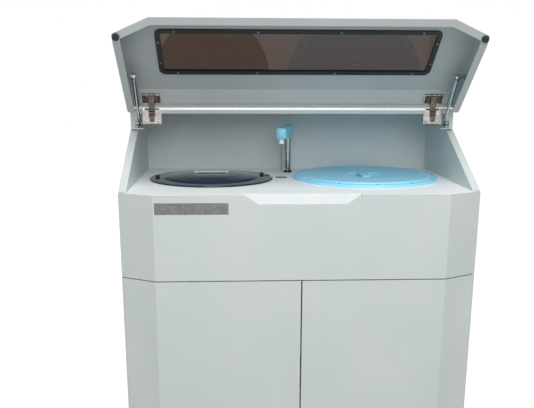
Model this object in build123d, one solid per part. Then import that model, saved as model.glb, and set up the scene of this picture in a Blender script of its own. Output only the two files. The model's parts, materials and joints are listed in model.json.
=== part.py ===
"""Floor-standing chemistry analyzer: a cabinet with a worktop under a hinged, windowed lid.

Millimetres, +Z up. The working frame has X = 0 on the centre line, Y = 0 on the face of the
front panel and Z = 0 on the floor; every piece is moved back by half the depth on export, so
the kept origin is the centre of the footprint on the floor. The lid is kept open.
"""
from build123d import *
from math import atan, atan2, cos, degrees, hypot, radians, sin
import os

# ---- cabinet ---------------------------------------------------------------------------------
WIDTH = 1000.0
DEPTH = 640.0
WORKTOP_HEIGHT = 870.0        # floor to the top edge of the front panel
HOOD_HEIGHT = 214.0           # front panel's top edge to the top of the rear ledge
CHAMFER_WIDTH = 98.0          # each front corner is cut this much across
CHAMFER_DEPTH = 52.0          # and this much back
SHEET = 2.0
SIDE_THICKNESS = 20.0         # depth of the folded edges of a side panel
FRONT_PANEL_HEIGHT = 234.0
PANEL_GAP = 3.0
BASE_HEIGHT = 60.0            # floor to the underside of the cabinet
DOOR_THICKNESS = 18.0
DOOR_LIFT = 6.0               # door's lower edge above the cabinet's underside
DOOR_GAP = 4.0                # between the two doors
DECK_THICKNESS = 3.0
FIT = 0.5                     # assembly clearance between folded sheets
SHAFT_CLEARANCE = 0.05        # radial, for pins and shafts that turn or slide

# ---- hood -------------------------------------------------------------------------------------
SIDE_SLOPE = 0.5              # rise over run of the side walls' and the lid's sloping edges
STRIP_START = 3.0             # height of the sloping edge where it meets the front corner
LEDGE_FRONT = 352.0           # front of the fixed rear ledge
LEDGE_LIP = 15.0
LINER_SHEET = 1.5
REAR_SPACE = 56.0             # behind the hood's back wall

# ---- lid, in its closed position ----------------------------------------------------------------
LID_OPEN_ANGLE = 68.0
LID_PIVOT_Y = 358.0
LID_PIVOT_DROP = 14.0         # below the ledge's top
LID_SHEET = 3.0
LID_SETBACK = 8.0             # lid's front behind the front panel
LID_RIM_HEIGHT = 18.0         # rim above the front panel's edge
LID_RIM_FLAT = 18.0           # level part of the rim behind the chamfer
LID_RIM_WIDTH = 20.0
LID_REAR = 341.0
LID_BEND = 286.0              # where the level rear band turns down
LID_FRONT_LEAN = 24.0
LID_REAR_CORNER = 328.0
LID_HEM = 9.0
WINDOW_HALF_WIDTH = 399.0
WINDOW_FRONT = 64.5
WINDOW_REAR = 222.5
WINDOW_RADIUS = 20.0
GASKET_WIDTH = 14.0
GLASS_THICKNESS = 4.0
WINDOW_SCREW_CORNER = 47.0
WINDOW_SCREW_RADIUS = 3.2
BUMPER_RADIUS = 10.0
BUMPER_HEIGHT = 5.6
HINGE_INSET = 66.0            # middle of a lid hinge from the cabinet's side
HINGE_HALF_WIDTH = 29.0
KNUCKLE_HALF = 9.0
KNUCKLE_RADIUS = 6.5
HINGE_PIN_RADIUS = 3.0
HINGE_PLATE_DROP = 45.0

# ---- gas springs -----------------------------------------------------------------------------------
SPRING_INSET = 30.0           # gas spring's axis from the cabinet's side
SPRING_TOP = (210.0, 130.0)   # on the closed lid: back from the front, up from the panel's edge
SPRING_FOOT = (348.0, 170.0)
TUBE_RADIUS = 7.5
TUBE_BORE = 5.0
TUBE_LENGTH = 106.0
ROD_RADIUS = 3.5
SPRING_STUD = 4.0

# ---- worktop pieces ----------------------------------------------------------------------------------
WORKTOP_SHEET = 3.0
WORKTOP_RISE = 2.0            # worktop above the front panel's edge
NOTCH_TOP = 154.0             # half width of the finger notch at the panel's edge
NOTCH_BOTTOM = 120.0
NOTCH_DEPTH = 22.5
COVER_GAP = 64.0              # between the two round covers
REACTION_MARGIN = 33.5        # smoked cover's edge to the hood's side wall
REACTION_REAR_MARGIN = 64.0   # and to its back wall
REACTION_OVERLAP = 18.0       # cover's brim beyond its well
REACTION_WELL_DEPTH = 78.0
REAGENT_MARGIN = 27.5
REAGENT_REAR_MARGIN = 16.0
REAGENT_OVERLAP = 21.0
REAGENT_WELL_DEPTH = 108.0
COVER_DIFFERENCE = 36.0       # blue cover's radius over the smoked cover's
WELL_WALL = 3.0
WELL_FLANGE = 12.0
WELL_BOSS = 14.0              # bearing boss below the well's floor
SHAFT_RADIUS = 8.0
MOTOR_WIDTH = 56.0
KNOB_INSET = 24.0             # knob's stem from the smoked cover's edge
KNOB_ANGLES = (180.0, 18.0)
KNOB_STEM = 3.0
HANDLE_HALF = 53.0
HANDLE_FOOT = 47.0
COVER_SLOT_ANGLE = 5.5        # slot in the smoked cover's edge, on the probe's side
COVER_SLOT_WIDTH = 14.0
COVER_SLOT_DEPTH = 30.0
GRIP_WELL_RADIUS = 61.0
COVER_SCREWS = 10
COVER_SCREW_START = -93.0

# ---- rotors -------------------------------------------------------------------------------------------
CUVETTES = 36
CUVETTE_HALF = (5.0, 4.0)
CUVETTE_WALL = 1.4
WHEEL_CLEARANCE = 8.0         # wheel's rim inside its well
WHEEL_RIM = 30.0
WHEEL_LIFT = 16.0             # wheel above the well's floor
BOTTLES = 16
VIALS = 12
VIAL_RADIUS = 13.0
TRAY_CLEARANCE = 9.0
TRAY_LIFT = 14.0
TRAY_WALL = 3.0
TRAY_ROW = 74.0               # width of the bottles' row
TRAY_HUB = 62.0

# ---- probe ----------------------------------------------------------------------------------------------
PROBE_OFFSET = 26.0           # column to the right of the middle between the covers
PROBE_BACK = 102.0            # column in front of the hood's back wall
PROBE_RADIUS = 9.0
PROBE_TURN = 12.9             # arm's lean to the left of straight ahead
PROBE_REACH = 134.0
PROBE_ARM_BOTTOM = 112.0
PROBE_ARM_HEIGHT = 38.0
NEEDLE_TIP = 20.0
NEEDLE_RADIUS = 0.9
WASH_HALF = (13.0, 6.0)
WASH_DEPTH = 70.0
GUIDE_SPREAD = 24.0           # guide rod and lead screw beside the column's line
GUIDE_BACK = 40.0
GUIDE_RADIUS = 5.0
SCREW_RADIUS = 4.0
CARRIAGE_DROP = 120.0         # carriage under the worktop
CARRIAGE_HEIGHT = 16.0
JOURNAL_RADIUS = 6.0
TOWER_HALF = 45.0
TOWER_PLATE = 6.0

# ---- equipment under the worktop ---------------------------------------------------------------------
PUMP_X = -60.0
PUMP_FRONT = 150.0
PUMP_HEIGHT = 150.0
BARREL_BORE = 6.0
BARREL_FRONT = 13.0           # barrel's axis in front of the pump's body
TANK_FRONT, TANK_REAR = 190.0, 520.0
TANK_SIDE_GAP = 30.0          # from the side panel's edge
TANK_GAP = 20.0
TANK_INNER_GAP = 40.0         # from the partition
WATER_HEIGHT, WASTE_HEIGHT = 330.0, 290.0
SUPPLY_WIDTH, SUPPLY_LENGTH, SUPPLY_HEIGHT = 220.0, 190.0, 90.0
SUPPLY_SIDE_GAP = 20.0
SUPPLY_REAR_GAP = 30.0
BOARD_FRONT, BOARD_REAR = 200.0, 520.0
BOARD_LOW, BOARD_HIGH = 240.0, 520.0
BOARD_SPACER = 12.0

# ---- rear side --------------------------------------------------------------------------------------
VENT_X = 260.0
VENT_LENGTH = 140.0
VENT_WIDTH = 6.0
VENT_PITCH = 16.0
VENT_ROWS = 8
VENT_INSET = 120.0            # from the panel's foot, and from the worktop's level
CONNECTOR_LIFT = 60.0         # middle of the connectors above the cabinet's underside
CONNECTOR_PLATE_HEIGHT = 105.0
INLET_X = -110.0
INLET_WIDTH = 39.0
INLET_HEIGHT = 49.0
INLET_DEPTH = 16.0
BLADE_SPREAD = 7.0
FITTINGS_X = (60.0, 100.0, 140.0)
FITTING_RADIUS = 8.5
FITTING_BORE = 4.0

# ---- underside -----------------------------------------------------------------------------------------
BEAM_FRONT = 110.0
BEAM_REAR_INSET = 80.0
BEAM_HALF = 30.0
BEAM_HEIGHT = 20.0
BEAM_WALL = 3.0
FOOT_INSET = 60.0
STEM_RADIUS = 6.0
PAN_LIP = 24.0

# ---- doors --------------------------------------------------------------------------------------------
DOOR_PIN_RADIUS = 4.0
DOOR_PIN_REACH = 12.0
DOOR_BOSS_RADIUS = 6.0
DOOR_NOSE = 11.0              # round edge of the door about its pivot
DOOR_PIN_BACK = 6.0           # pivot behind the cut corner's rear edge
DOOR_SWING_GAP = 1.0
DOOR_STIFFENER = 60.0
PARTITION_GAP = 14.0          # partition behind the doors
FLANGE_HALF = 20.0

# ---- derived ---------------------------------------------------------------------------------------
HALF = WIDTH / 2
EDGE = WORKTOP_HEIGHT
LEDGE_TOP = EDGE + HOOD_HEIGHT
DECK_TOP = EDGE - FRONT_PANEL_HEIGHT + 1.0
DOOR_TOP = EDGE - FRONT_PANEL_HEIGHT - PANEL_GAP
DOOR_BOTTOM = BASE_HEIGHT + DOOR_LIFT
DOOR_PIN_X = HALF - DOOR_NOSE
DOOR_PIN_Y = CHAMFER_DEPTH + DOOR_PIN_BACK
SIDE_FRONT = DOOR_PIN_Y + hypot(DOOR_NOSE, DOOR_PIN_BACK) + DOOR_SWING_GAP
INNER_SIDE = HALF - SIDE_THICKNESS
WORKTOP_TOP = EDGE + WORKTOP_RISE
WORKTOP_UNDER = WORKTOP_TOP - WORKTOP_SHEET
PIVOT_Z = LEDGE_TOP - LID_PIVOT_DROP
SLOPE_ANGLE = degrees(atan(SIDE_SLOPE))
HINGE_X = HALF - HINGE_INSET
SPRING_X = HALF - SPRING_INSET
LINER_BACK = DEPTH - REAR_SPACE
LINER_INNER = INNER_SIDE - LINER_SHEET
COVER_DIAMETERS = 2 * LINER_INNER - REACTION_MARGIN - REAGENT_MARGIN - COVER_GAP
REACTION_COVER_RADIUS = COVER_DIAMETERS / 4 - COVER_DIFFERENCE / 2
REACTION_WELL_RADIUS = REACTION_COVER_RADIUS - REACTION_OVERLAP
REACTION_X = REACTION_MARGIN + REACTION_COVER_RADIUS - LINER_INNER
REACTION_Y = LINER_BACK - REACTION_REAR_MARGIN - REACTION_COVER_RADIUS
REAGENT_COVER_RADIUS = REACTION_COVER_RADIUS + COVER_DIFFERENCE
REAGENT_WELL_RADIUS = REAGENT_COVER_RADIUS - REAGENT_OVERLAP
REAGENT_X = LINER_INNER - REAGENT_MARGIN - REAGENT_COVER_RADIUS
REAGENT_Y = LINER_BACK - REAGENT_REAR_MARGIN - REAGENT_COVER_RADIUS
WHEEL_RADIUS = REACTION_WELL_RADIUS - WHEEL_CLEARANCE
WHEEL_LOW = WORKTOP_UNDER - REACTION_WELL_DEPTH + WELL_WALL + WHEEL_LIFT
TRAY_RADIUS = REAGENT_WELL_RADIUS - TRAY_CLEARANCE
TRAY_LOW = WORKTOP_UNDER - REAGENT_WELL_DEPTH + WELL_WALL + TRAY_LIFT
KNOB_RADIUS = REACTION_COVER_RADIUS - KNOB_INSET
PROBE_X = REACTION_X + REACTION_COVER_RADIUS + COVER_GAP / 2 + PROBE_OFFSET
PROBE_Y = LINER_BACK - PROBE_BACK
CARRIAGE_LOW = WORKTOP_UNDER - CARRIAGE_DROP
CONNECTOR_Z = BASE_HEIGHT + CONNECTOR_LIFT
PARTITION_FRONT = DOOR_THICKNESS + 2 * SHEET + PARTITION_GAP


def box(x0, x1, y0, y1, z0, z1):
    """A block between two corners."""
    return Pos((x0 + x1) / 2, (y0 + y1) / 2, (z0 + z1) / 2) * Box(x1 - x0, y1 - y0, z1 - z0)


def disc(x, y, z0, z1, radius):
    """A round plate or post standing at (x, y)."""
    return Pos(x, y, (z0 + z1) / 2) * Cylinder(radius, z1 - z0)


def ring(x, y, z0, z1, outer, inner):
    """A standing tube."""
    return disc(x, y, z0, z1, outer) - disc(x, y, z0 - 1, z1 + 1, inner)


def bar_x(x0, x1, y, z, radius):
    """A round bar along X."""
    return Pos((x0 + x1) / 2, y, z) * Rot(0, 90, 0) * Cylinder(radius, x1 - x0)


def side_profile(points, x0, x1):
    """An outline in (y, z) carried from x0 to x1."""
    face = make_face(Plane.YZ * Polyline(*points, close=True))
    return Pos(x0, 0, 0) * extrude(face, amount=x1 - x0, dir=(1, 0, 0))


def plan(inset, z0, z1, front=0.0):
    """The footprint with its two cut corners, drawn in by inset at the front and the sides."""
    back = DEPTH + HALF
    points = [(-HALF, back), (-HALF, CHAMFER_DEPTH), (-HALF + CHAMFER_WIDTH, front),
              (HALF - CHAMFER_WIDTH, front), (HALF, CHAMFER_DEPTH), (HALF, back)]
    face = make_face(Polyline(*points, close=True))
    if inset:
        face = offset(face, amount=-inset, kind=Kind.INTERSECTION)
    return Pos(0, 0, z0) * extrude(face, amount=z1 - z0)


def strip_height(y):
    """Top of the side wall's sloping edge at depth y."""
    return EDGE + STRIP_START + SIDE_SLOPE * (y - CHAMFER_DEPTH)


def mirrored(shape):
    """The same piece on the other side of the centre line."""
    return mirror(shape, about=Plane.YZ)


# ---- cabinet shell -------------------------------------------------------------------------------------
def beam_lines():
    """Depths of the two base beams."""
    return BEAM_FRONT, DEPTH - BEAM_REAR_INSET


def base_beams():
    """Two channel beams across the cabinet, open underneath."""
    beams = []
    low, high = BASE_HEIGHT - BEAM_HEIGHT, BASE_HEIGHT
    end = HALF - 5
    for y in beam_lines():
        beam = box(-end, end, y - BEAM_HALF, y + BEAM_HALF, low, high)
        inner = BEAM_HALF - BEAM_WALL
        beam -= box(-end + BEAM_WALL, end - BEAM_WALL, y - inner, y + inner, low - 1, high - BEAM_WALL)
        for x in (-HALF + FOOT_INSET, HALF - FOOT_INSET):
            beam += disc(x, y, low + 4, high - 2, STEM_RADIUS + 8)
            beam -= disc(x, y, low, high - BEAM_WALL, STEM_RADIUS + SHAFT_CLEARANCE)
        beams.append(beam)
    return Compound(beams)


def levelling_feet():
    """Four pads on threaded stems with their lock nuts."""
    feet = []
    for y in beam_lines():
        for x in (-HALF + FOOT_INSET, HALF - FOOT_INSET):
            pad = Pos(x, y, 0) * Cone(28, 20, 12, align=(Align.CENTER, Align.CENTER, Align.MIN))
            stem = disc(x, y, 10, BASE_HEIGHT - BEAM_WALL - 1, STEM_RADIUS)
            nut = Pos(x, y, 26) * extrude(RegularPolygon(STEM_RADIUS + 4, 6), amount=9)
            feet.append(pad + stem + nut)
    return Compound(feet)


def base_pan():
    """Floor of the cabinet, a tray with a folded edge."""
    low, high = BASE_HEIGHT, BASE_HEIGHT + PAN_LIP
    side = INNER_SIDE - FIT
    back = DEPTH - SHEET - 2 * FIT
    pan = plan(DOOR_THICKNESS + SHEET, low, high) & box(-side, side, 0, back, low, high)
    inner = side - SHEET
    hollow = plan(DOOR_THICKNESS + 2 * SHEET, low + SHEET, high + 1)
    return pan - (hollow & box(-inner, inner, 0, back - SHEET, low, high + 1))


def side_panel():
    """Left side panel: a deep tray whose top edge follows the lid's slope."""
    low, high = BASE_HEIGHT, LEDGE_TOP
    outline = [(SIDE_FRONT, low), (DEPTH, low), (DEPTH, high), (LEDGE_FRONT, high),
               (LEDGE_FRONT, strip_height(LEDGE_FRONT)), (SIDE_FRONT, strip_height(SIDE_FRONT))]
    panel = side_profile(outline, -HALF, -INNER_SIDE)
    drop = SHEET / cos(radians(SLOPE_ANGLE))
    corner = LEDGE_FRONT + SHEET
    pocket = [(SIDE_FRONT + SHEET, low + SHEET), (DEPTH - SHEET, low + SHEET),
              (DEPTH - SHEET, high - SHEET), (corner, high - SHEET),
              (corner, strip_height(corner) - drop),
              (SIDE_FRONT + SHEET, strip_height(SIDE_FRONT + SHEET) - drop)]
    panel -= side_profile(pocket, -HALF + SHEET, -INNER_SIDE + 1)
    tongue_start = CHAMFER_DEPTH + 4
    tongue = [(tongue_start, strip_height(tongue_start) - drop),
              (tongue_start, strip_height(tongue_start)),
              (SIDE_FRONT + 1, strip_height(SIDE_FRONT + 1)),
              (SIDE_FRONT + 1, strip_height(SIDE_FRONT + 1) - drop)]
    panel += side_profile(tongue, -HALF + SHEET + FIT, -INNER_SIDE)
    for under, end in ((DECK_TOP - DECK_THICKNESS, DEPTH - 30), (WORKTOP_UNDER, LINER_BACK - FIT)):
        panel += box(-HALF + SHEET, -INNER_SIDE + 14, SIDE_FRONT + SHEET, end, under - 5, under)
    return panel


def rear_panel():
    """Back of the cabinet over the connector plate, with four fields of vent slots."""
    side = INNER_SIDE - FIT
    low = BASE_HEIGHT + CONNECTOR_PLATE_HEIGHT + FIT
    panel = box(-side, side, DEPTH - SHEET, DEPTH, low, LEDGE_TOP - LEDGE_LIP - FIT)
    slot = Plane.XZ * SlotOverall(VENT_LENGTH, VENT_WIDTH)
    cut = extrude(slot, amount=3 * SHEET, both=True)
    for field_z in (BASE_HEIGHT + VENT_INSET, EDGE - VENT_INSET):
        for row in range(VENT_ROWS):
            for x in (-VENT_X, VENT_X):
                panel -= Pos(x, DEPTH, field_z + row * VENT_PITCH) * cut
    return panel


def connector_plate():
    """Lower strip of the back, with the openings for the power inlet and the hose fittings."""
    side = INNER_SIDE - FIT
    low = BASE_HEIGHT + FIT
    plate = box(-side, side, DEPTH - SHEET, DEPTH, low, BASE_HEIGHT + CONNECTOR_PLATE_HEIGHT)
    half, tall = INLET_WIDTH / 2 + FIT, INLET_HEIGHT / 2 + FIT
    z = CONNECTOR_Z
    plate -= box(INLET_X - half, INLET_X + half, DEPTH - 2 * SHEET, DEPTH + 1, z - tall, z + tall)
    for x in FITTINGS_X:
        plate -= Pos(x, DEPTH, z) * Rot(90, 0, 0) * Cylinder(FITTING_RADIUS + FIT, 10)
    return plate


def rear_connectors():
    """Power inlet with its blades, and three bulkhead hose fittings."""
    x, z = INLET_X, CONNECTOR_Z
    half, tall = INLET_WIDTH / 2, INLET_HEIGHT / 2
    floor = DEPTH - INLET_DEPTH
    inlet = box(x - half, x + half, floor - 10, DEPTH, z - tall, z + tall)
    inlet -= box(x - half + 5, x + half - 5, floor, DEPTH + 1, z - tall + 7, z + tall - 7)
    pieces = [inlet]
    for blade_x in (x - BLADE_SPREAD, x + BLADE_SPREAD):
        pieces.append(box(blade_x - 1, blade_x + 1, floor, DEPTH - 3, z - 3, z + 3))
    for fitting_x in FITTINGS_X:
        place = Pos(fitting_x, DEPTH, z) * Rot(90, 0, 0)
        fitting = place * Pos(0, 0, 12) * Cylinder(FITTING_RADIUS, 24)
        fitting += place * Pos(0, 0, SHEET + 4) * extrude(RegularPolygon(FITTING_RADIUS + 4, 6), amount=8)
        pieces.append(fitting - place * Cylinder(FITTING_BORE, 60))
    return Compound(pieces)


def upper_front_panel():
    """Folded front panel with the finger notch in its top edge."""
    low = EDGE - FRONT_PANEL_HEIGHT
    end = SIDE_FRONT - 2 * FIT
    sheet = plan(0, low, EDGE + 20) - plan(SHEET, low - 1, EDGE + 21)
    lip = plan(SHEET - 0.01, low, low + SHEET) - plan(DOOR_THICKNESS, low - 1, low + SHEET + 1)
    outline = [(-1, low), (end, low), (end, strip_height(end)), (CHAMFER_DEPTH, EDGE), (-1, EDGE)]
    sheet = (sheet + lip) & side_profile(outline, -HALF - 1, HALF + 1)
    for x in (-DOOR_PIN_X, DOOR_PIN_X):
        sheet -= disc(x, DOOR_PIN_Y, low - 1, low + SHEET + 1, DOOR_BOSS_RADIUS + FIT)
    notch = [(-NOTCH_TOP, EDGE + 1), (-NOTCH_TOP, EDGE), (-NOTCH_BOTTOM, EDGE - NOTCH_DEPTH),
             (NOTCH_BOTTOM, EDGE - NOTCH_DEPTH), (NOTCH_TOP, EDGE), (NOTCH_TOP, EDGE + 1)]
    face = make_face(Plane.XZ * Polyline(*notch, close=True))
    return sheet - extrude(face, amount=2 * SHEET, both=True)


def worktop():
    """Worktop plate with the well openings, the probe bore and the sloping finger recess."""
    gap = SHEET + FIT
    side = INNER_SIDE - FIT
    front = plan(gap, WORKTOP_UNDER, WORKTOP_TOP) & box(-HALF, HALF, 0, SIDE_FRONT - FIT, 0, LEDGE_TOP)
    rear = box(-side, side, SIDE_FRONT - 1, LINER_BACK - FIT, WORKTOP_UNDER, WORKTOP_TOP)
    top = front + rear
    recess_half, recess_back, recess_drop = NOTCH_TOP + 8, 24.0, NOTCH_DEPTH + 6
    top -= box(-recess_half, recess_half, 0, recess_back, WORKTOP_UNDER - 1, WORKTOP_TOP + 1)
    low = WORKTOP_TOP - recess_drop
    ramp = [(recess_back, WORKTOP_TOP), (recess_back, WORKTOP_UNDER), (gap + 4, low), (gap, low)]
    top += side_profile(ramp, -recess_half, recess_half)
    cheek = [(recess_back + 0.5, WORKTOP_UNDER + 0.5), (gap, low), (gap, WORKTOP_UNDER + 0.5)]
    for x in (-recess_half, recess_half - SHEET):
        top += side_profile(cheek, x, x + SHEET)
    top -= disc(REACTION_X, REACTION_Y, 0, LEDGE_TOP, REACTION_WELL_RADIUS)
    top -= disc(REAGENT_X, REAGENT_Y, 0, LEDGE_TOP, REAGENT_WELL_RADIUS)
    top -= disc(PROBE_X, PROBE_Y, 0, LEDGE_TOP, PROBE_RADIUS + 3)
    x, y = needle_place()
    half_x, half_y = WASH_HALF[0] + 3, WASH_HALF[1] + 3
    return top - box(x - half_x, x + half_x, y - half_y, y + half_y, 0, LEDGE_TOP)


def hood_liner():
    """Inner walls and ceiling of the hood, one folded sheet."""
    top = LEDGE_TOP - LEDGE_LIP
    front = CHAMFER_DEPTH + 4
    outer = INNER_SIDE
    inner = INNER_SIDE - LINER_SHEET
    wall = [(front, WORKTOP_TOP), (LINER_BACK, WORKTOP_TOP), (LINER_BACK, top), (LEDGE_FRONT, top),
            (LEDGE_FRONT, strip_height(LEDGE_FRONT)), (front, strip_height(front))]
    liner = side_profile(wall, -outer, -inner) + side_profile(wall, inner, outer)
    liner += box(-outer, outer, LINER_BACK, LINER_BACK + LINER_SHEET, WORKTOP_UNDER - 8, top)
    liner += box(-outer, outer, LEDGE_FRONT + SHEET + FIT, LINER_BACK + LINER_SHEET, top, top + LINER_SHEET)
    for side in (-1, 1):
        x = side * HINGE_X
        half = HINGE_HALF_WIDTH - 6
        liner -= box(x - half, x + half, LEDGE_FRONT - 1, LEDGE_FRONT + 24, top - 1, top + 3)
    return liner


def top_ledge():
    """Fixed rear cover of the hood, cut away where the hinge knuckles turn."""
    side = INNER_SIDE - FIT
    low = LEDGE_TOP - LEDGE_LIP
    ledge = box(-side, side, LEDGE_FRONT, DEPTH, low, LEDGE_TOP)
    ledge -= box(-side - 1, side + 1, LEDGE_FRONT + SHEET, DEPTH - SHEET, low - 1, LEDGE_TOP - SHEET)
    for x in (-HINGE_X, HINGE_X):
        half = HINGE_HALF_WIDTH - 8
        ledge -= box(x - half, x + half, LEDGE_FRONT - 1, LEDGE_FRONT + 22, low - 1, LEDGE_TOP + 1)
    return ledge


def equipment_deck():
    """Shelf between the instrument space and the lower bays."""
    side = INNER_SIDE - FIT
    deck = plan(DOOR_THICKNESS + SHEET, DECK_TOP - DECK_THICKNESS, DECK_TOP)
    return deck & box(-side, side, 0, DEPTH - SHEET - 2 * FIT, 0, LEDGE_TOP)


def centre_partition():
    """Upright between the two lower bays, with a wide front flange that the doors close on."""
    low, high = BASE_HEIGHT + SHEET, DECK_TOP - DECK_THICKNESS
    front = PARTITION_FRONT
    upright = box(-SHEET / 2, SHEET / 2, front, DEPTH - 10, low, high)
    return upright + box(-FLANGE_HALF, FLANGE_HALF, front, front + SHEET, low, high)


def door_catches():
    """Two magnetic catches on the partition, one for each door."""
    catches = []
    middle = (DOOR_TOP + DOOR_BOTTOM) / 2
    half = FLANGE_HALF - 2
    for z in (middle - 40, middle + 20):
        block = box(-half, half, DOOR_THICKNESS + 0.3, PARTITION_FRONT, z, z + 20)
        block -= box(-half + 4, half - 4, DOOR_THICKNESS - 1, DOOR_THICKNESS + 1.5, z + 6, z + 14)
        catches.append(block)
    return Compound(catches)


def door_hinges():
    """Pivot brackets of both doors: a plate, a washer boss and a pin, top and bottom."""
    brackets = []
    inner = INNER_SIDE - 30
    front = DOOR_PIN_Y - 8
    gap = 0.3
    for side in (-1, 1):
        x = side * DOOR_PIN_X
        x0, x1 = sorted((side * inner, side * (HALF - 1)))
        low = box(x0, x1, front, BEAM_FRONT - BEAM_HALF - 1, BASE_HEIGHT - 4, BASE_HEIGHT)
        low += disc(x, DOOR_PIN_Y, BASE_HEIGHT - 1, DOOR_BOTTOM - gap, DOOR_BOSS_RADIUS + 1)
        low += disc(x, DOOR_PIN_Y, BASE_HEIGHT, DOOR_BOTTOM + DOOR_PIN_REACH, DOOR_PIN_RADIUS)
        x0, x1 = sorted((side * inner, side * (HALF - SHEET - 2)))
        high = box(x0, x1, front, SIDE_FRONT - FIT, DECK_TOP, DECK_TOP + 6)
        high &= plan(SHEET + 1, 0, LEDGE_TOP)
        high -= plan(0, DECK_TOP - 1, DECK_TOP + SHEET) - plan(DOOR_THICKNESS + FIT, DECK_TOP - 2, EDGE)
        high += disc(x, DOOR_PIN_Y, DOOR_TOP + gap, DECK_TOP + 6, DOOR_BOSS_RADIUS)
        high += disc(x, DOOR_PIN_Y, DOOR_TOP - DOOR_PIN_REACH, DECK_TOP, DOOR_PIN_RADIUS)
        brackets += [low, high]
    return Compound(brackets)


def door(side):
    """Folded door that wraps the cut corner and ends in a round nose about its pivot."""
    deep = DOOR_THICKNESS
    gap = DOOR_GAP / 2
    region = box(gap, HALF, 0, DOOR_PIN_Y, DOOR_BOTTOM, DOOR_TOP)
    body = (plan(0, DOOR_BOTTOM, DOOR_TOP) - plan(deep, 0, LEDGE_TOP)) & region
    hollow = plan(SHEET, DOOR_BOTTOM + SHEET, DOOR_TOP - SHEET) - plan(deep + 1, 0, LEDGE_TOP)
    hollow &= box(gap + SHEET, HALF, 0, CHAMFER_DEPTH - 6, 0, LEDGE_TOP)
    body -= hollow
    body += disc(DOOR_PIN_X, DOOR_PIN_Y, DOOR_BOTTOM, DOOR_TOP, DOOR_NOSE)
    x0 = (HALF - CHAMFER_WIDTH - DOOR_STIFFENER) / 2
    x1 = x0 + DOOR_STIFFENER
    hat = box(x0, x1, SHEET, deep - 3, DOOR_BOTTOM + 30, DOOR_TOP - 30)
    body += hat - box(x0 + SHEET, x1 - SHEET, SHEET - 1, deep - 3 - SHEET, DOOR_BOTTOM, DOOR_TOP)
    deep_hole = DOOR_PIN_REACH + 2
    for z in (DOOR_BOTTOM, DOOR_TOP - deep_hole):
        body -= disc(DOOR_PIN_X, DOOR_PIN_Y, z - 1, z + deep_hole + 1, DOOR_PIN_RADIUS + SHAFT_CLEARANCE)
    return body if side > 0 else mirrored(body)


# ---- hinges and springs -------------------------------------------------------------------------------
def hinge_bases():
    """Fixed halves of the lid hinges: a lipped plate, two ears and the pin."""
    bases = []
    half = HINGE_HALF_WIDTH
    top = LEDGE_TOP - 4
    plate = box(-half, half, LEDGE_FRONT - 3, LEDGE_FRONT, top - HINGE_PLATE_DROP, top)
    plate = fillet(plate.edges().filter_by(Axis.Y).group_by(Axis.Z)[0], 8)
    dish = box(-half + 4, half - 4, LEDGE_FRONT - 4, LEDGE_FRONT - 2,
               top - HINGE_PLATE_DROP + 4, top + 1)
    plate -= fillet(dish.edges().filter_by(Axis.Y).group_by(Axis.Z)[0], 5)
    slot = KNUCKLE_HALF + 1
    plate -= box(-slot, slot, LEDGE_FRONT - 5, LEDGE_FRONT + 1, PIVOT_Z - 12, top + 1)
    ear_y = LID_PIVOT_Y + 7
    for sign in (-1, 1):
        x0, x1 = sorted((sign * (KNUCKLE_HALF + 1), sign * (KNUCKLE_HALF + 4)))
        plate += box(x0, x1, LEDGE_FRONT - 2, ear_y, PIVOT_Z - 12, PIVOT_Z + 6)
    plate += bar_x(-KNUCKLE_HALF - 6, KNUCKLE_HALF + 6, LID_PIVOT_Y, PIVOT_Z, HINGE_PIN_RADIUS)
    for x in (-HINGE_X, HINGE_X):
        bases.append(Pos(x, 0, 0) * plate)
    return Compound(bases)


def spring_brackets():
    """Feet of the gas springs: an angle on the side wall's edge with a stud that faces inwards."""
    foot_y, foot_z = SPRING_FOOT[0], EDGE + SPRING_FOOT[1]
    seat = strip_height(LEDGE_FRONT)
    low = box(-HALF + 4, -SPRING_X + 12, LEDGE_FRONT - 15, LEDGE_FRONT, seat, seat + 2.5)
    ear = box(-SPRING_X - 17, -SPRING_X - 14, LEDGE_FRONT - 14, LEDGE_FRONT, seat, foot_z + 7)
    stud = bar_x(-SPRING_X - 15, -SPRING_X - 7, foot_y, foot_z, SPRING_STUD)
    stud &= box(-HALF, 0, 0, LEDGE_FRONT, 0, LEDGE_TOP)
    left = low + ear + stud
    return Compound([left, mirrored(left)])


def opened(shape):
    """Swing a closed lid piece up to the kept, open position."""
    return shape.rotate(Axis((0, LID_PIVOT_Y, PIVOT_Z), (1, 0, 0)), -LID_OPEN_ANGLE)


def opened_point(y, z):
    """Where a point of the closed lid's side view stands when the lid is open."""
    angle = radians(LID_OPEN_ANGLE)
    dy, dz = y - LID_PIVOT_Y, z - PIVOT_Z
    return (LID_PIVOT_Y + dy * cos(angle) + dz * sin(angle),
            PIVOT_Z - dy * sin(angle) + dz * cos(angle))


def skin_height(y):
    """Outer skin of the closed lid over its sloping part."""
    return LEDGE_TOP - SIDE_SLOPE * (LID_BEND - y)


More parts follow.
